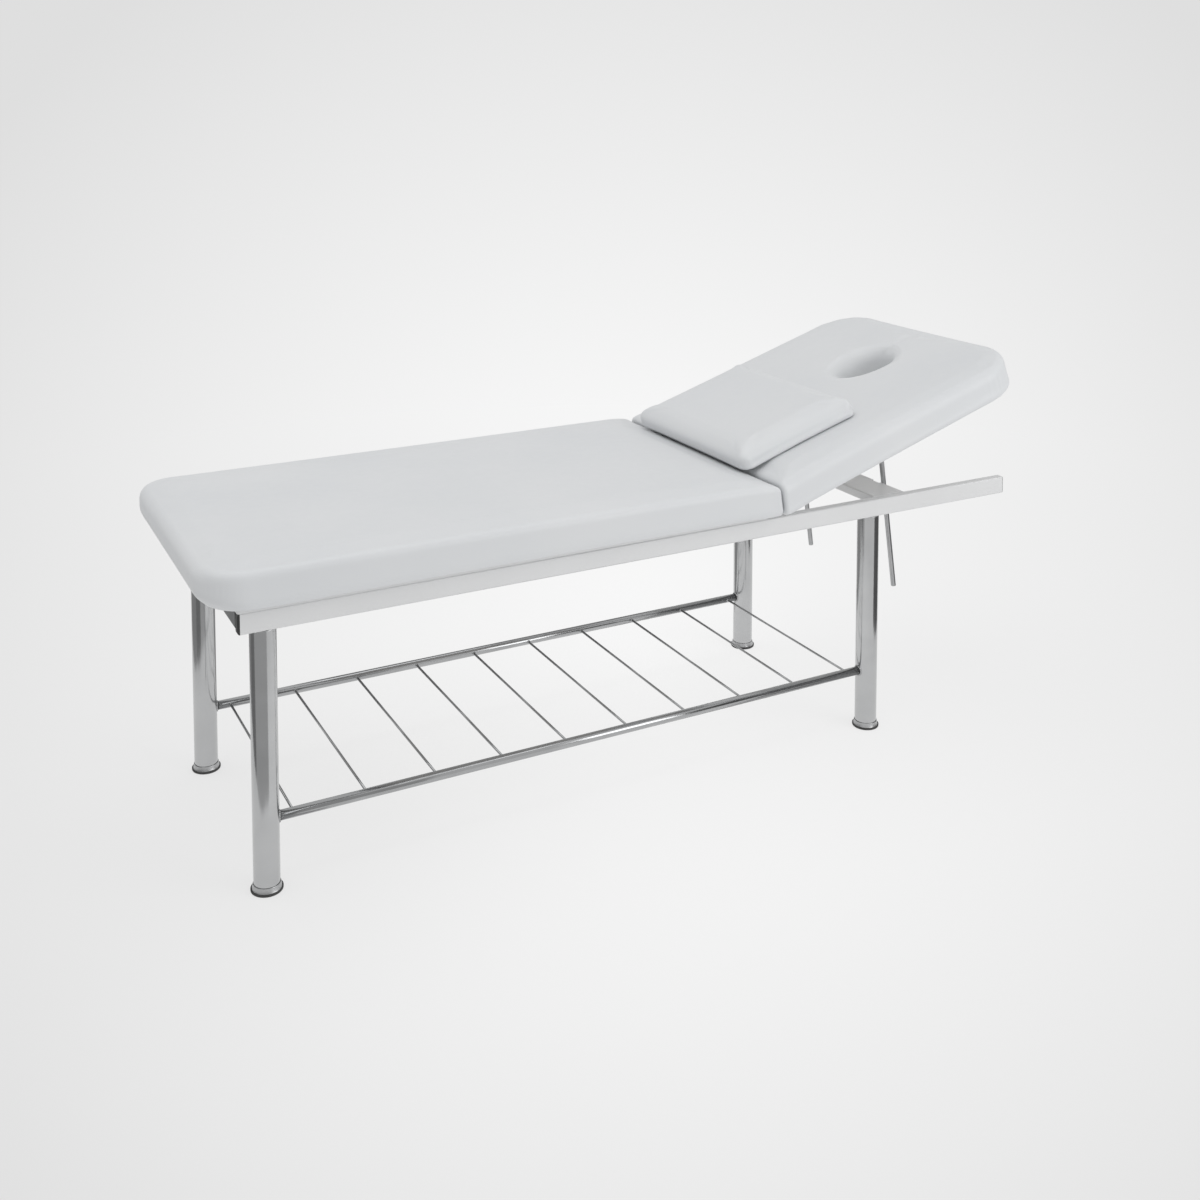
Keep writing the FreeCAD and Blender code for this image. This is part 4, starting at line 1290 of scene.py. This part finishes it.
@dataclass
class Shelf:
    """Two long tubes fitted and welded to the legs, and thin rods welded between them."""

    wire: Material
    sides: int = 40
    bead: float = 0.0022
    bead_offset: float = 0.3
    bead_steps: int = 144
    ripples: int = 16
    rod_sides: int = 20
    rod_start: float = 0.6
    nugget: float = 0.0042
    nugget_height: float = 0.8
    nugget_sides: int = 14
    level_gap: float = 0.00001

    def __post_init__(self) -> None:
        """Read the tubes' height, radius and distance from the middle."""
        low, high = node_box("shelf_tube_near")
        self.height = (low[2] + high[2]) / 2
        self.tube_radius = (high[2] - low[2]) / 2
        self.reach = -(low[1] + high[1]) / 2

    def tube_end(self, leg: tuple[Array, Array], side_y: float, radius: float, steps: int,
                 facing: int) -> Array:
        """Points where a tube meets a leg: x = leg x + facing * sqrt(R^2 - (y - leg y)^2).

        Args:
            leg: corners of the leg's box; R is its radius.
            side_y: y of the tube's middle.
            radius: the tube's.
            steps: how many points.
            facing: 1 on the leg's head side, -1 on its foot side.

        Returns:
            A (steps, 3) array.
        """
        angle = -once_round(steps)
        middle, leg_radius = (leg[0] + leg[1]) / 2, (leg[1][0] - leg[0][0]) / 2
        y = side_y + radius * np.cos(angle)
        x = middle[0] + facing * np.sqrt(np.maximum(leg_radius**2 - (y - middle[1]) ** 2, 0))
        return np.stack([x, y, self.height + radius * np.sin(angle)], axis=-1)

    def tube(self, side: str) -> None:
        """One long tube, its ends shaped to the legs, with a rippled bead round each end.

        Args:
            side: near or far.
        """
        low, high = node_box(f"shelf_tube_{side}")
        side_y = (low[1] + high[1]) / 2
        legs = [(node_box(f"leg_{end}_{side}"), facing) for end, facing in zip(ENDS, (1, -1))]
        foot, head = (
            self.tube_end(leg, side_y, self.tube_radius, self.sides, facing) for leg, facing in legs
        )
        share = np.linspace(0, 1, 3)[:, None, None]
        shape = MeshSum().add_rings(foot[None] * (1 - share) + head[None] * share)
        bead_radius = self.tube_radius + self.bead * self.bead_offset
        for leg, facing in legs:
            path = self.tube_end(leg, side_y, bead_radius, self.bead_steps, facing)
            shape.add_loop(bead_rings(path, self.bead, self.ripples))
        place(shape.piece(f"shelf_rail_{side}"), "frame", Slot.WIRE, self.wire, f"shelf_tube_{side}")

    def rods(self) -> None:
        """The cross rods with a weld nugget at each end, a ball flattened along the rod."""
        points = read_points(frame["nodes"]["shelf_cross_rods"].data)
        low, high = points.min(axis=0), points.max(axis=0)
        radius = (high[2] - low[2]) / 2
        centres = np.unique(np.round(points[np.abs(points[:, 2] - high[2]) < self.level_gap, 0], 4))
        lean = np.linspace(0, math.pi, 9)
        ball = np.stack([np.sin(lean) + 1e-6 / self.nugget, -self.nugget_height * np.cos(lean)], axis=-1)
        end = self.reach - self.tube_radius * self.rod_start
        profile = np.array([[radius, 0.0], [radius, end], [radius, 2 * end]])
        shape = MeshSum()
        for centre in centres:
            shape.add_rings(turned_rings(profile, [centre, -end, self.height], ACROSS, self.rod_sides))
            for side in (-1, 1):
                middle = [centre, side * (self.reach - self.tube_radius), self.height]
                shape.add_rings(turned_rings(self.nugget * ball, middle, ACROSS, self.nugget_sides))
        place(shape.piece("shelf_wires"), "frame", Slot.WIRE, self.wire, "shelf_cross_rods")

    def build(self) -> None:
        """Make both tubes with their beads, then the rods."""
        for side in SIDES:
            self.tube(side)
        self.rods()


@dataclass
class PropGear:
    """Prop rods and the star knobs of their clamps."""

    sides: int = 40
    rod_round: float = 0.0018
    knob_start: float = 0.019
    knob_foot: float = 0.85
    knob_edge: float = 0.002
    knob_dome: float = 0.005
    dome_power: float = 0.6
    knob_sides: int = 120
    knob_radius: float = 0.0148
    lobes: int = 5
    lobe_depth: float = 0.0022
    stud_radius: float = 0.004
    stud_round: float = 0.0006
    stud_sides: int = 24

    def rod(self, side: str, zinc: Material) -> None:
        """A bright rod with rounded ends, from below its clamp to its cross pin.

        Args:
            side: near or far.
            zinc: its finish.
        """
        direction = np.array(JOINTS[f"rod_slide_{side}"]["axis"], float)
        pivot = np.array(JOINTS[f"clamp_swivel_{side}"]["pos_m"], float)
        points = read_points(frame["nodes"][f"prop_rod_{side}"].data) - pivot
        along = points @ direction
        radius = np.linalg.norm(points - along[:, None] * direction, axis=1).max()
        length = along.max() - along.min()
        edge = self.rod_round
        profile = rounded_profile(
            [(0, 0, 0), (radius, 0, edge), (radius, length / 2, 0), (radius, length, edge), (0, length, 0)]
        )
        rings = turned_rings(profile, pivot + direction * along.min(), direction, self.sides)
        piece = MeshSum().add_rings(rings).piece(f"prop_{side}")
        place(piece, f"rod_{side}", Slot.ZINC, zinc, f"prop_rod_{side}")

    def knob(self, side: str, plastic: Material) -> None:
        """A lobed knob with its stud, domed outside: radius = mean + lobe depth * cos(lobes * a).

        Args:
            side: near or far.
            plastic: its finish.
        """
        joint = JOINTS[f"knob_turn_{side}"]
        axis, pivot = np.array(joint["axis"], float), np.array(joint["pos_m"], float)
        along = (read_points(frame["nodes"][f"clamp_knob_{side}"].data) - pivot) @ axis
        start, root = self.knob_start, along.max() - self.knob_dome
        edge = start + self.knob_edge
        lean = np.linspace(0, 1, 9) * math.pi / 2
        wall = rounded_profile([(0, start, 0), (self.knob_foot, start, 0), (1, edge, 0.0008), (1, root, 0)])
        height = root + self.knob_dome * np.sin(lean[1:])
        dome = np.stack([np.cos(lean[1:]) ** self.dome_power, height], axis=-1)
        profile = np.concatenate([wall, dome])
        profile[:, 0] = np.maximum(profile[:, 0], 1e-4)
        centre = (pivot + profile[:, 1][:, None] * axis)[:, None]
        radius = self.knob_radius + self.lobe_depth * np.cos(self.lobes * once_round(self.knob_sides))
        rings = turned_rings(profile, pivot, axis, self.knob_sides)
        shape = MeshSum().add_rings(centre + (rings - centre) * radius[None, :, None])
        tip, thin = along.min(), self.stud_radius
        stud = rounded_profile([(0, tip, 0), (thin, tip, self.stud_round), (thin, edge, 0), (0, edge, 0)])
        shape.add_rings(turned_rings(stud, pivot, axis, self.stud_sides))
        place(shape.piece(f"star_knob_{side}"), f"knob_{side}", Slot.PLASTIC, plastic, f"clamp_knob_{side}")

    def build(self, zinc: Material, plastic: Material) -> None:
        """Make both sides."""
        for side in SIDES:
            self.rod(side, zinc)
            self.knob(side, plastic)


@dataclass
class RailCap:
    """Moulded end caps of the rails: a plug in the tube and a domed face over its end.

    The face draws in by drop * (1 - sqrt(1 - s^2)) as s goes from its root to its tip.
    """

    end: str
    plug_wall: float = 0.0024
    drop: float = 0.0065
    width_drop: float = 0.0045
    corner: float = 0.003
    corner_share: float = 0.3
    least_corner: float = 0.0015
    dome_end: float = 84.0
    dome_steps: int = 9
    steps: int = 6

    def rings(self, low: Array, high: Array, root: float, tip: float, facing: int) -> Array:
        """Rings of one cap, rounded rectangles from the plug's inner end to the domed tip.

        Args:
            low: the cap's lowest corner.
            high: its highest corner.
            root: x of the tube's end.
            tip: x of the cap's tip.
            facing: 1 for the head end, -1 for the foot end.

        Returns:
            An (m, n, 3) array, right-handed about its travel.
        """
        rise = np.sin(np.radians(np.linspace(0, self.dome_end, self.dome_steps)))
        inner = low[0] if facing > 0 else high[0]
        along = np.concatenate([[inner, root, root], root + (tip - root) * rise])
        shrink = 1 - np.sqrt(1 - rise**2)
        in_y, in_z = (
            np.concatenate([[self.plug_wall, self.plug_wall, 0.0], drop * shrink])
            for drop in (self.width_drop, self.drop)
        )
        half_y, half_z = (high[1] - low[1]) / 2 - in_y, (high[2] - low[2]) / 2 - in_z
        radius = np.maximum(self.corner - in_y * self.corner_share, self.least_corner)
        corners = ((0, 1, 1), (90, -1, 1), (180, -1, -1), (270, 1, -1))
        arcs = [
            quarter_arcs(side_y * (half_y - radius), side_z * (half_z - radius), radius, turn, self.steps)
            for turn, side_y, side_z in corners
        ]
        flat = np.concatenate(arcs, axis=1)[:, ::facing]
        return with_third(flat + [(low[1] + high[1]) / 2, (low[2] + high[2]) / 2], along, 0)

    def build(self, slot: Slot, material: Material) -> None:
        """Make both caps of the end as one piece.

        Args:
            slot: the record's material slot; passed on, but not used.
            material: their finish.
        """
        node = f"rail_caps_{self.end}"
        low, high = node_box(node)
        facing = 1 if self.end == "head" else -1
        tip = high[0] if facing > 0 else low[0]
        shape = MeshSum()
        for side in SIDES:
            rail_low, rail_high = node_box(f"side_rail_{side}")
            root = rail_high[0] if facing > 0 else rail_low[0]
            cap_low, cap_high = np.array([low[0], *rail_low[1:]]), np.array([high[0], *rail_high[1:]])
            shape.add_rings(self.rings(cap_low, cap_high, root, tip, facing))
        place(shape.piece(f"rail_ends_{self.end}"), "frame", slot, material, node)


@dataclass
class Fittings:
    """Rails, brackets, blocks, leaves and fastenings: copies of the CAD nodes, smooth at their bends."""

    finishes: dict[Slot, Material]
    merge: float = 0.00002
    smooth_angle: float = math.radians(34)
    edge: float = 0.0004
    edge_angle: float = math.radians(50)
    edged: tuple[str, ...] = ("board_tabs", "leg_plates", "slotted_bracket", "clamp_bracket_near",
                              "clamp_bracket_far", "hinge_fixed_leaves", "hinge_moving_leaves")

    def copy(self, name: str, node: Piece) -> Piece:
        """A copy of a node with its points merged, its bends smooth and its flat faces plain.

        Args:
            name: the node's name.
            node: the CAD node, which stays as it is.

        Returns:
            The copy.
        """
        piece = linked(f"{name}_made", node.data.copy())
        modify(piece, "WELD", merge_threshold=self.merge)
        bake_modifiers(piece)
        if name.startswith(self.edged):
            rounding = {"width": self.edge, "segments": 2, "angle_limit": self.edge_angle}
            modify(piece, "BEVEL", limit_method="ANGLE", **rounding)
            bake_modifiers(piece)
        shade(piece.data)
        piece.data.set_sharp_from_angle(angle=self.smooth_angle)
        modify(piece, "WEIGHTED_NORMAL", keep_sharp=True)
        return piece

    def build(self) -> None:
        """Copy and dress each CAD node that still shows, by its slot in the record."""
        slots = {entry["node"]: Slot(entry["material_slot"]) for entry in frame["record"]["subparts"]}
        for name, node in frame["nodes"].items():
            material = self.finishes[slots[name]]
            dress(node, material)
            if not node.hide_render and slots[name] is not Slot.WOOD:
                place(self.copy(name, node), body_of(node)[0], slots[name], material, name)


def emptied(holder: Material | bpy.types.World) -> Nodes:
    """The cleared nodes of a material or a world."""
    holder.use_nodes = True
    holder.node_tree.nodes.clear()
    return Nodes(holder.node_tree)


@dataclass
class Studio:
    """The pale floor, the world, the soft lamps and the camera at the photograph's angle.

    A card is a name, the two ends of its foot line and its tone. A lamp is a name, a place, a size and
    a power.
    """

    azimuth: float = -27.94
    elevation: float = 4.05
    camera_place: tuple[float, float, float] = (-1.47513, -2.7683, 1.5242)
    focal_pixels: float = 1397.0
    frame_pixels: float = 1200.0
    sensor: float = 36.0
    shift_y: float = -0.3575
    sight: float = 200.0
    pale: float = 0.9
    near_tone: float = 1.0
    edge_tone: float = 0.738
    glow_pixels: tuple[float, float] = (40.0, 479.0)
    glow_reach: float = 830.0
    least_ahead: float = 0.1
    floor_reach: float = 60.0
    shadow_hold: float = 0.78
    hold_reach: tuple[float, float] = (1.3, 3.2)
    world_light: float = 0.66
    aim: tuple[float, float, float] = (0.0, 0.0, 0.5)
    lamps: tuple = (("overhead", (-0.9, 0.2, 4.2), 4.2, 50.0), ("front", (2.1, -3.1, 1.6), 2.4, 38.0))
    card_height: float = 0.5
    cards: tuple = (
        ("card_front", (-0.75, -0.60), (-0.93, -0.57), 0.45),
        ("card_foot", (-0.93, -0.57), (-1.29, -0.285), 0.45),
        ("card_left", (-1.29, -0.285), (-1.45, 0.17), 0.2),
        ("card_far_left", (-1.45, 0.17), (-1.25, 1.0), 0.3),
        ("card_back", (-0.7, 0.45), (0.45, 0.45), 0.34),
        ("card_right", (0.90, -0.83), (1.22, -0.14), 0.12),
    )

    def axes(self) -> tuple[Vector, Vector, Vector]:
        """The camera's directions; back is (sin a cos e, -cos a cos e, sin e).

        Returns:
            Its right, up and back vectors.
        """
        turn, rise = math.radians(self.azimuth), math.radians(self.elevation)
        back = Vector((math.sin(turn) * math.cos(rise), -math.cos(turn) * math.cos(rise), math.sin(rise)))
        right = Vector((math.cos(turn), math.sin(turn), 0.0))
        return right, back.cross(right), back

    def aimed(self, name: str, data: bpy.types.ID, position: tuple, forward: Vector) -> Piece:
        """An object at a place that looks along a direction.

        Args:
            name: its name.
            data: its camera or light.
            position: where it stands.
            forward: where it looks.

        Returns:
            The linked object.
        """
        thing = linked(name, data)
        thing.location = position
        thing.rotation_mode = "QUATERNION"
        thing.rotation_quaternion = forward.to_track_quat("-Z", "Y")
        return thing

    def camera(self) -> None:
        """The camera at its place, with its lens shifted down as the photograph's was."""
        data = bpy.data.cameras.new("camera")
        data.sensor_width = self.sensor
        data.lens = self.focal_pixels / self.frame_pixels * self.sensor
        data.shift_y = self.shift_y
        data.clip_end = self.sight
        bpy.context.scene.camera = self.aimed("camera", data, self.camera_place, -self.axes()[2])

    def lamp(self, name: str, position: tuple, size: float, power: float) -> None:
        """A soft square lamp aimed at the middle of the bed.

        Args:
            name: its name.
            position: where it stands.
            size: length of its sides.
            power: in watts.
        """
        data = bpy.data.lights.new(name, "AREA")
        data.size = size
        data.energy = power
        self.aimed(name, data, position, Vector(self.aim) - Vector(position))

    def glow(self, nodes: Nodes, start: tuple[float, float, float]) -> Socket:
        """How bright the background is: it fades evenly away from the middle of the photograph's glow.

        With v from the start and f forward, the distance is |v / (v . f) - m|, where m points at
        the middle of the glow and is as long as makes m . f = 1.

        Args:
            nodes: the floor's or the world's.
            start: the camera's place for the floor, and zero for the world, whose points are directions.

        Returns:
            The socket that carries the tone.
        """
        right, up, back = self.axes()
        glow_right, glow_down = (pixels / self.focal_pixels for pixels in self.glow_pixels)
        away = nodes.vector("SUBTRACT", {0: nodes.place, 1: start})
        forward = nodes.vector("DOT_PRODUCT", {0: away, 1: -back}, "Value")
        ahead = nodes.math("MAXIMUM", forward, self.least_ahead)
        on_plane = nodes.vector("SCALE", {0: away, "Scale": nodes.math("DIVIDE", 1.0, ahead)})
        middle = -back + right * glow_right - up * glow_down
        distance = nodes.vector("DISTANCE", {0: on_plane, 1: middle}, "Value")
        reach = self.glow_reach / self.focal_pixels
        return nodes.ranged(distance, self.near_tone, self.edge_tone, 0.0, reach)

    def card(self, name: str, corners: list, material: Material) -> Piece:
        """A flat four-cornered piece of the studio, which is no part of the bed.

        Args:
            name: its name.
            corners: four points.
            material: its finish.

        Returns:
            The piece.
        """
        card = mesh_piece(name, np.array(corners, float), [[0, 1, 2, 3]], smooth=False)
        dress(card, material)
        return card

    def floor(self) -> None:
        """A wide pale floor: the bed's faint shadow, and the plain background's tone away from it."""
        material = bpy.data.materials.new("floor")
        nodes = emptied(material)
        lit = nodes.add("BsdfDiffuse", {"Color": grey(self.pale)}).outputs["BSDF"]
        plain = nodes.add("Emission", {"Strength": self.glow(nodes, self.camera_place)}).outputs["Emission"]
        from_bed = nodes.vector("LENGTH", {0: nodes.place}, "Value")
        hold = nodes.ranged(from_bed, self.shadow_hold, 1.0, *self.hold_reach, kind="SMOOTHSTEP")
        nodes.end("Material", nodes.add("MixShader", {"Fac": hold, 1: lit, 2: plain}).outputs["Shader"])
        far = self.floor_reach
        self.card("floor", [[-far, -far, 0], [far, -far, 0], [far, far, 0], [-far, far, 0]], material)

    def flag(self, name: str, start: tuple[float, float], end: tuple[float, float], tone: float) -> None:
        """An upright dark card that only shows in bright metal, as bands along the tubes.

        Args:
            name: its name.
            start: x and y of one end.
            end: x and y of the other.
            tone: how bright it shows.
        """
        material = bpy.data.materials.new(name)
        nodes = emptied(material)
        nodes.end("Material", nodes.add("Emission", {"Color": grey(tone)}).outputs["Emission"])
        high = self.card_height
        card = self.card(name, [[*start, 0], [*end, 0], [*end, high], [*start, high]], material)
        for ray in ("camera", "diffuse", "shadow", "transmission", "volume_scatter"):
            setattr(card, f"visible_{ray}", False)

    def world(self) -> None:
        """A pale background for what is seen, in metal too, and a plain soft light for the rest."""
        world = bpy.data.worlds.new("studio")
        bpy.context.scene.world = world
        nodes = emptied(world)
        light, seen = (
            nodes.add("Background", {"Color": grey(1.0), "Strength": strength}).outputs["Background"]
            for strength in (self.world_light, self.glow(nodes, (0.0, 0.0, 0.0)))
        )
        rays = nodes.add("LightPath", {}).outputs
        share = nodes.math("MAXIMUM", rays["Is Camera Ray"], rays["Is Glossy Ray"])
        share = nodes.math("MAXIMUM", share, rays["Is Transmission Ray"])
        nodes.end("World", nodes.add("MixShader", {"Fac": share, 1: light, 2: seen}).outputs["Shader"])

    def build(self) -> None:
        """Set up everything round the object."""
        self.camera()
        self.floor()
        self.world()
        for card in self.cards:
            self.flag(*card)
        for lamp in self.lamps:
            self.lamp(*lamp)


def board_finish(node: str, name: str, tilt: float) -> Material:
    """The finish of one board, from the box that it fills while it lies flat."""
    low, high = flat_box(node) if tilt else node_box(node)
    return BoardFinish(name, tuple(low[:2]), tuple(high[:2]), tilt).build()


def main() -> None:
    """Build the studio and then every sub-assembly."""
    logging.basicConfig(level=logging.INFO, format="%(name)s: %(message)s")
    bpy.context.scene.view_settings.view_transform = "Standard"
    Studio().build()
    finishes = {
        Slot.PAINT: PaintFinish().build(),
        # The foot cross tube's near-black coat is partly painted shade, for the shade under the seat's foot
        # overhang.
        Slot.BLACK_AND_SHADE_PAINT: PaintFinish("black_coat", 0.03, 0.35, (-0.006, 0.006)).build(),
        Slot.CHROME: MetalFinish("chrome", 0.53, 0.14).build(),
        Slot.WIRE: MetalFinish("shelf_wire", 0.44, 0.16, stretch=(0.02, 0.02, 1.0)).build(),
        Slot.ZINC: MetalFinish("zinc", 0.45, 0.3, stretch=(1.0, 1.0, 0.05)).build(),
        Slot.PLASTIC: PlasticFinish("black_plastic", 0.03, 0.45).build(),
        Slot.PALE_PLASTIC: PlasticFinish("pale_plastic", 0.36, 0.55, (0, 0.0144)).build(),
        Slot.GREY_PLASTIC: PlasticFinish("grey_plastic", 0.24, 0.5, (0, 0.048)).build(),
        Slot.RUBBER: PlasticFinish("rubber", 0.035, 0.7, (0, 0.021), grain=(700.0, 0.3, 0.00008)).build(),
        Slot.WOOD: board_finish("seat_board", "seat_plywood", 0.0),
        Slot.VINYL: VinylFinish().build(),
    }
    foot_steel = MetalFinish("foot_steel", 0.48, 0.34, stretch=(1.0, 1.0, 1.0)).build()
    Upholstery(finishes[Slot.VINYL]).build()
    for end in ENDS:
        for side in SIDES:
            Leg(end, side).build(finishes[Slot.CHROME])
            LevellingFoot(end, side).build(foot_steel, finishes[Slot.RUBBER])
    Shelf(finishes[Slot.WIRE]).build()
    PropGear().build(finishes[Slot.ZINC], finishes[Slot.PLASTIC])
    RailCap("foot").build(Slot.PLASTIC, finishes[Slot.PLASTIC])
    RailCap("head").build(Slot.PALE_PLASTIC, finishes[Slot.PALE_PLASTIC])
    Fittings(finishes).build()
    dress(frame["nodes"]["backrest_board"], board_finish("backrest_board", "backrest_plywood", REST_TILT))


if __name__ == "__main__":
    main()
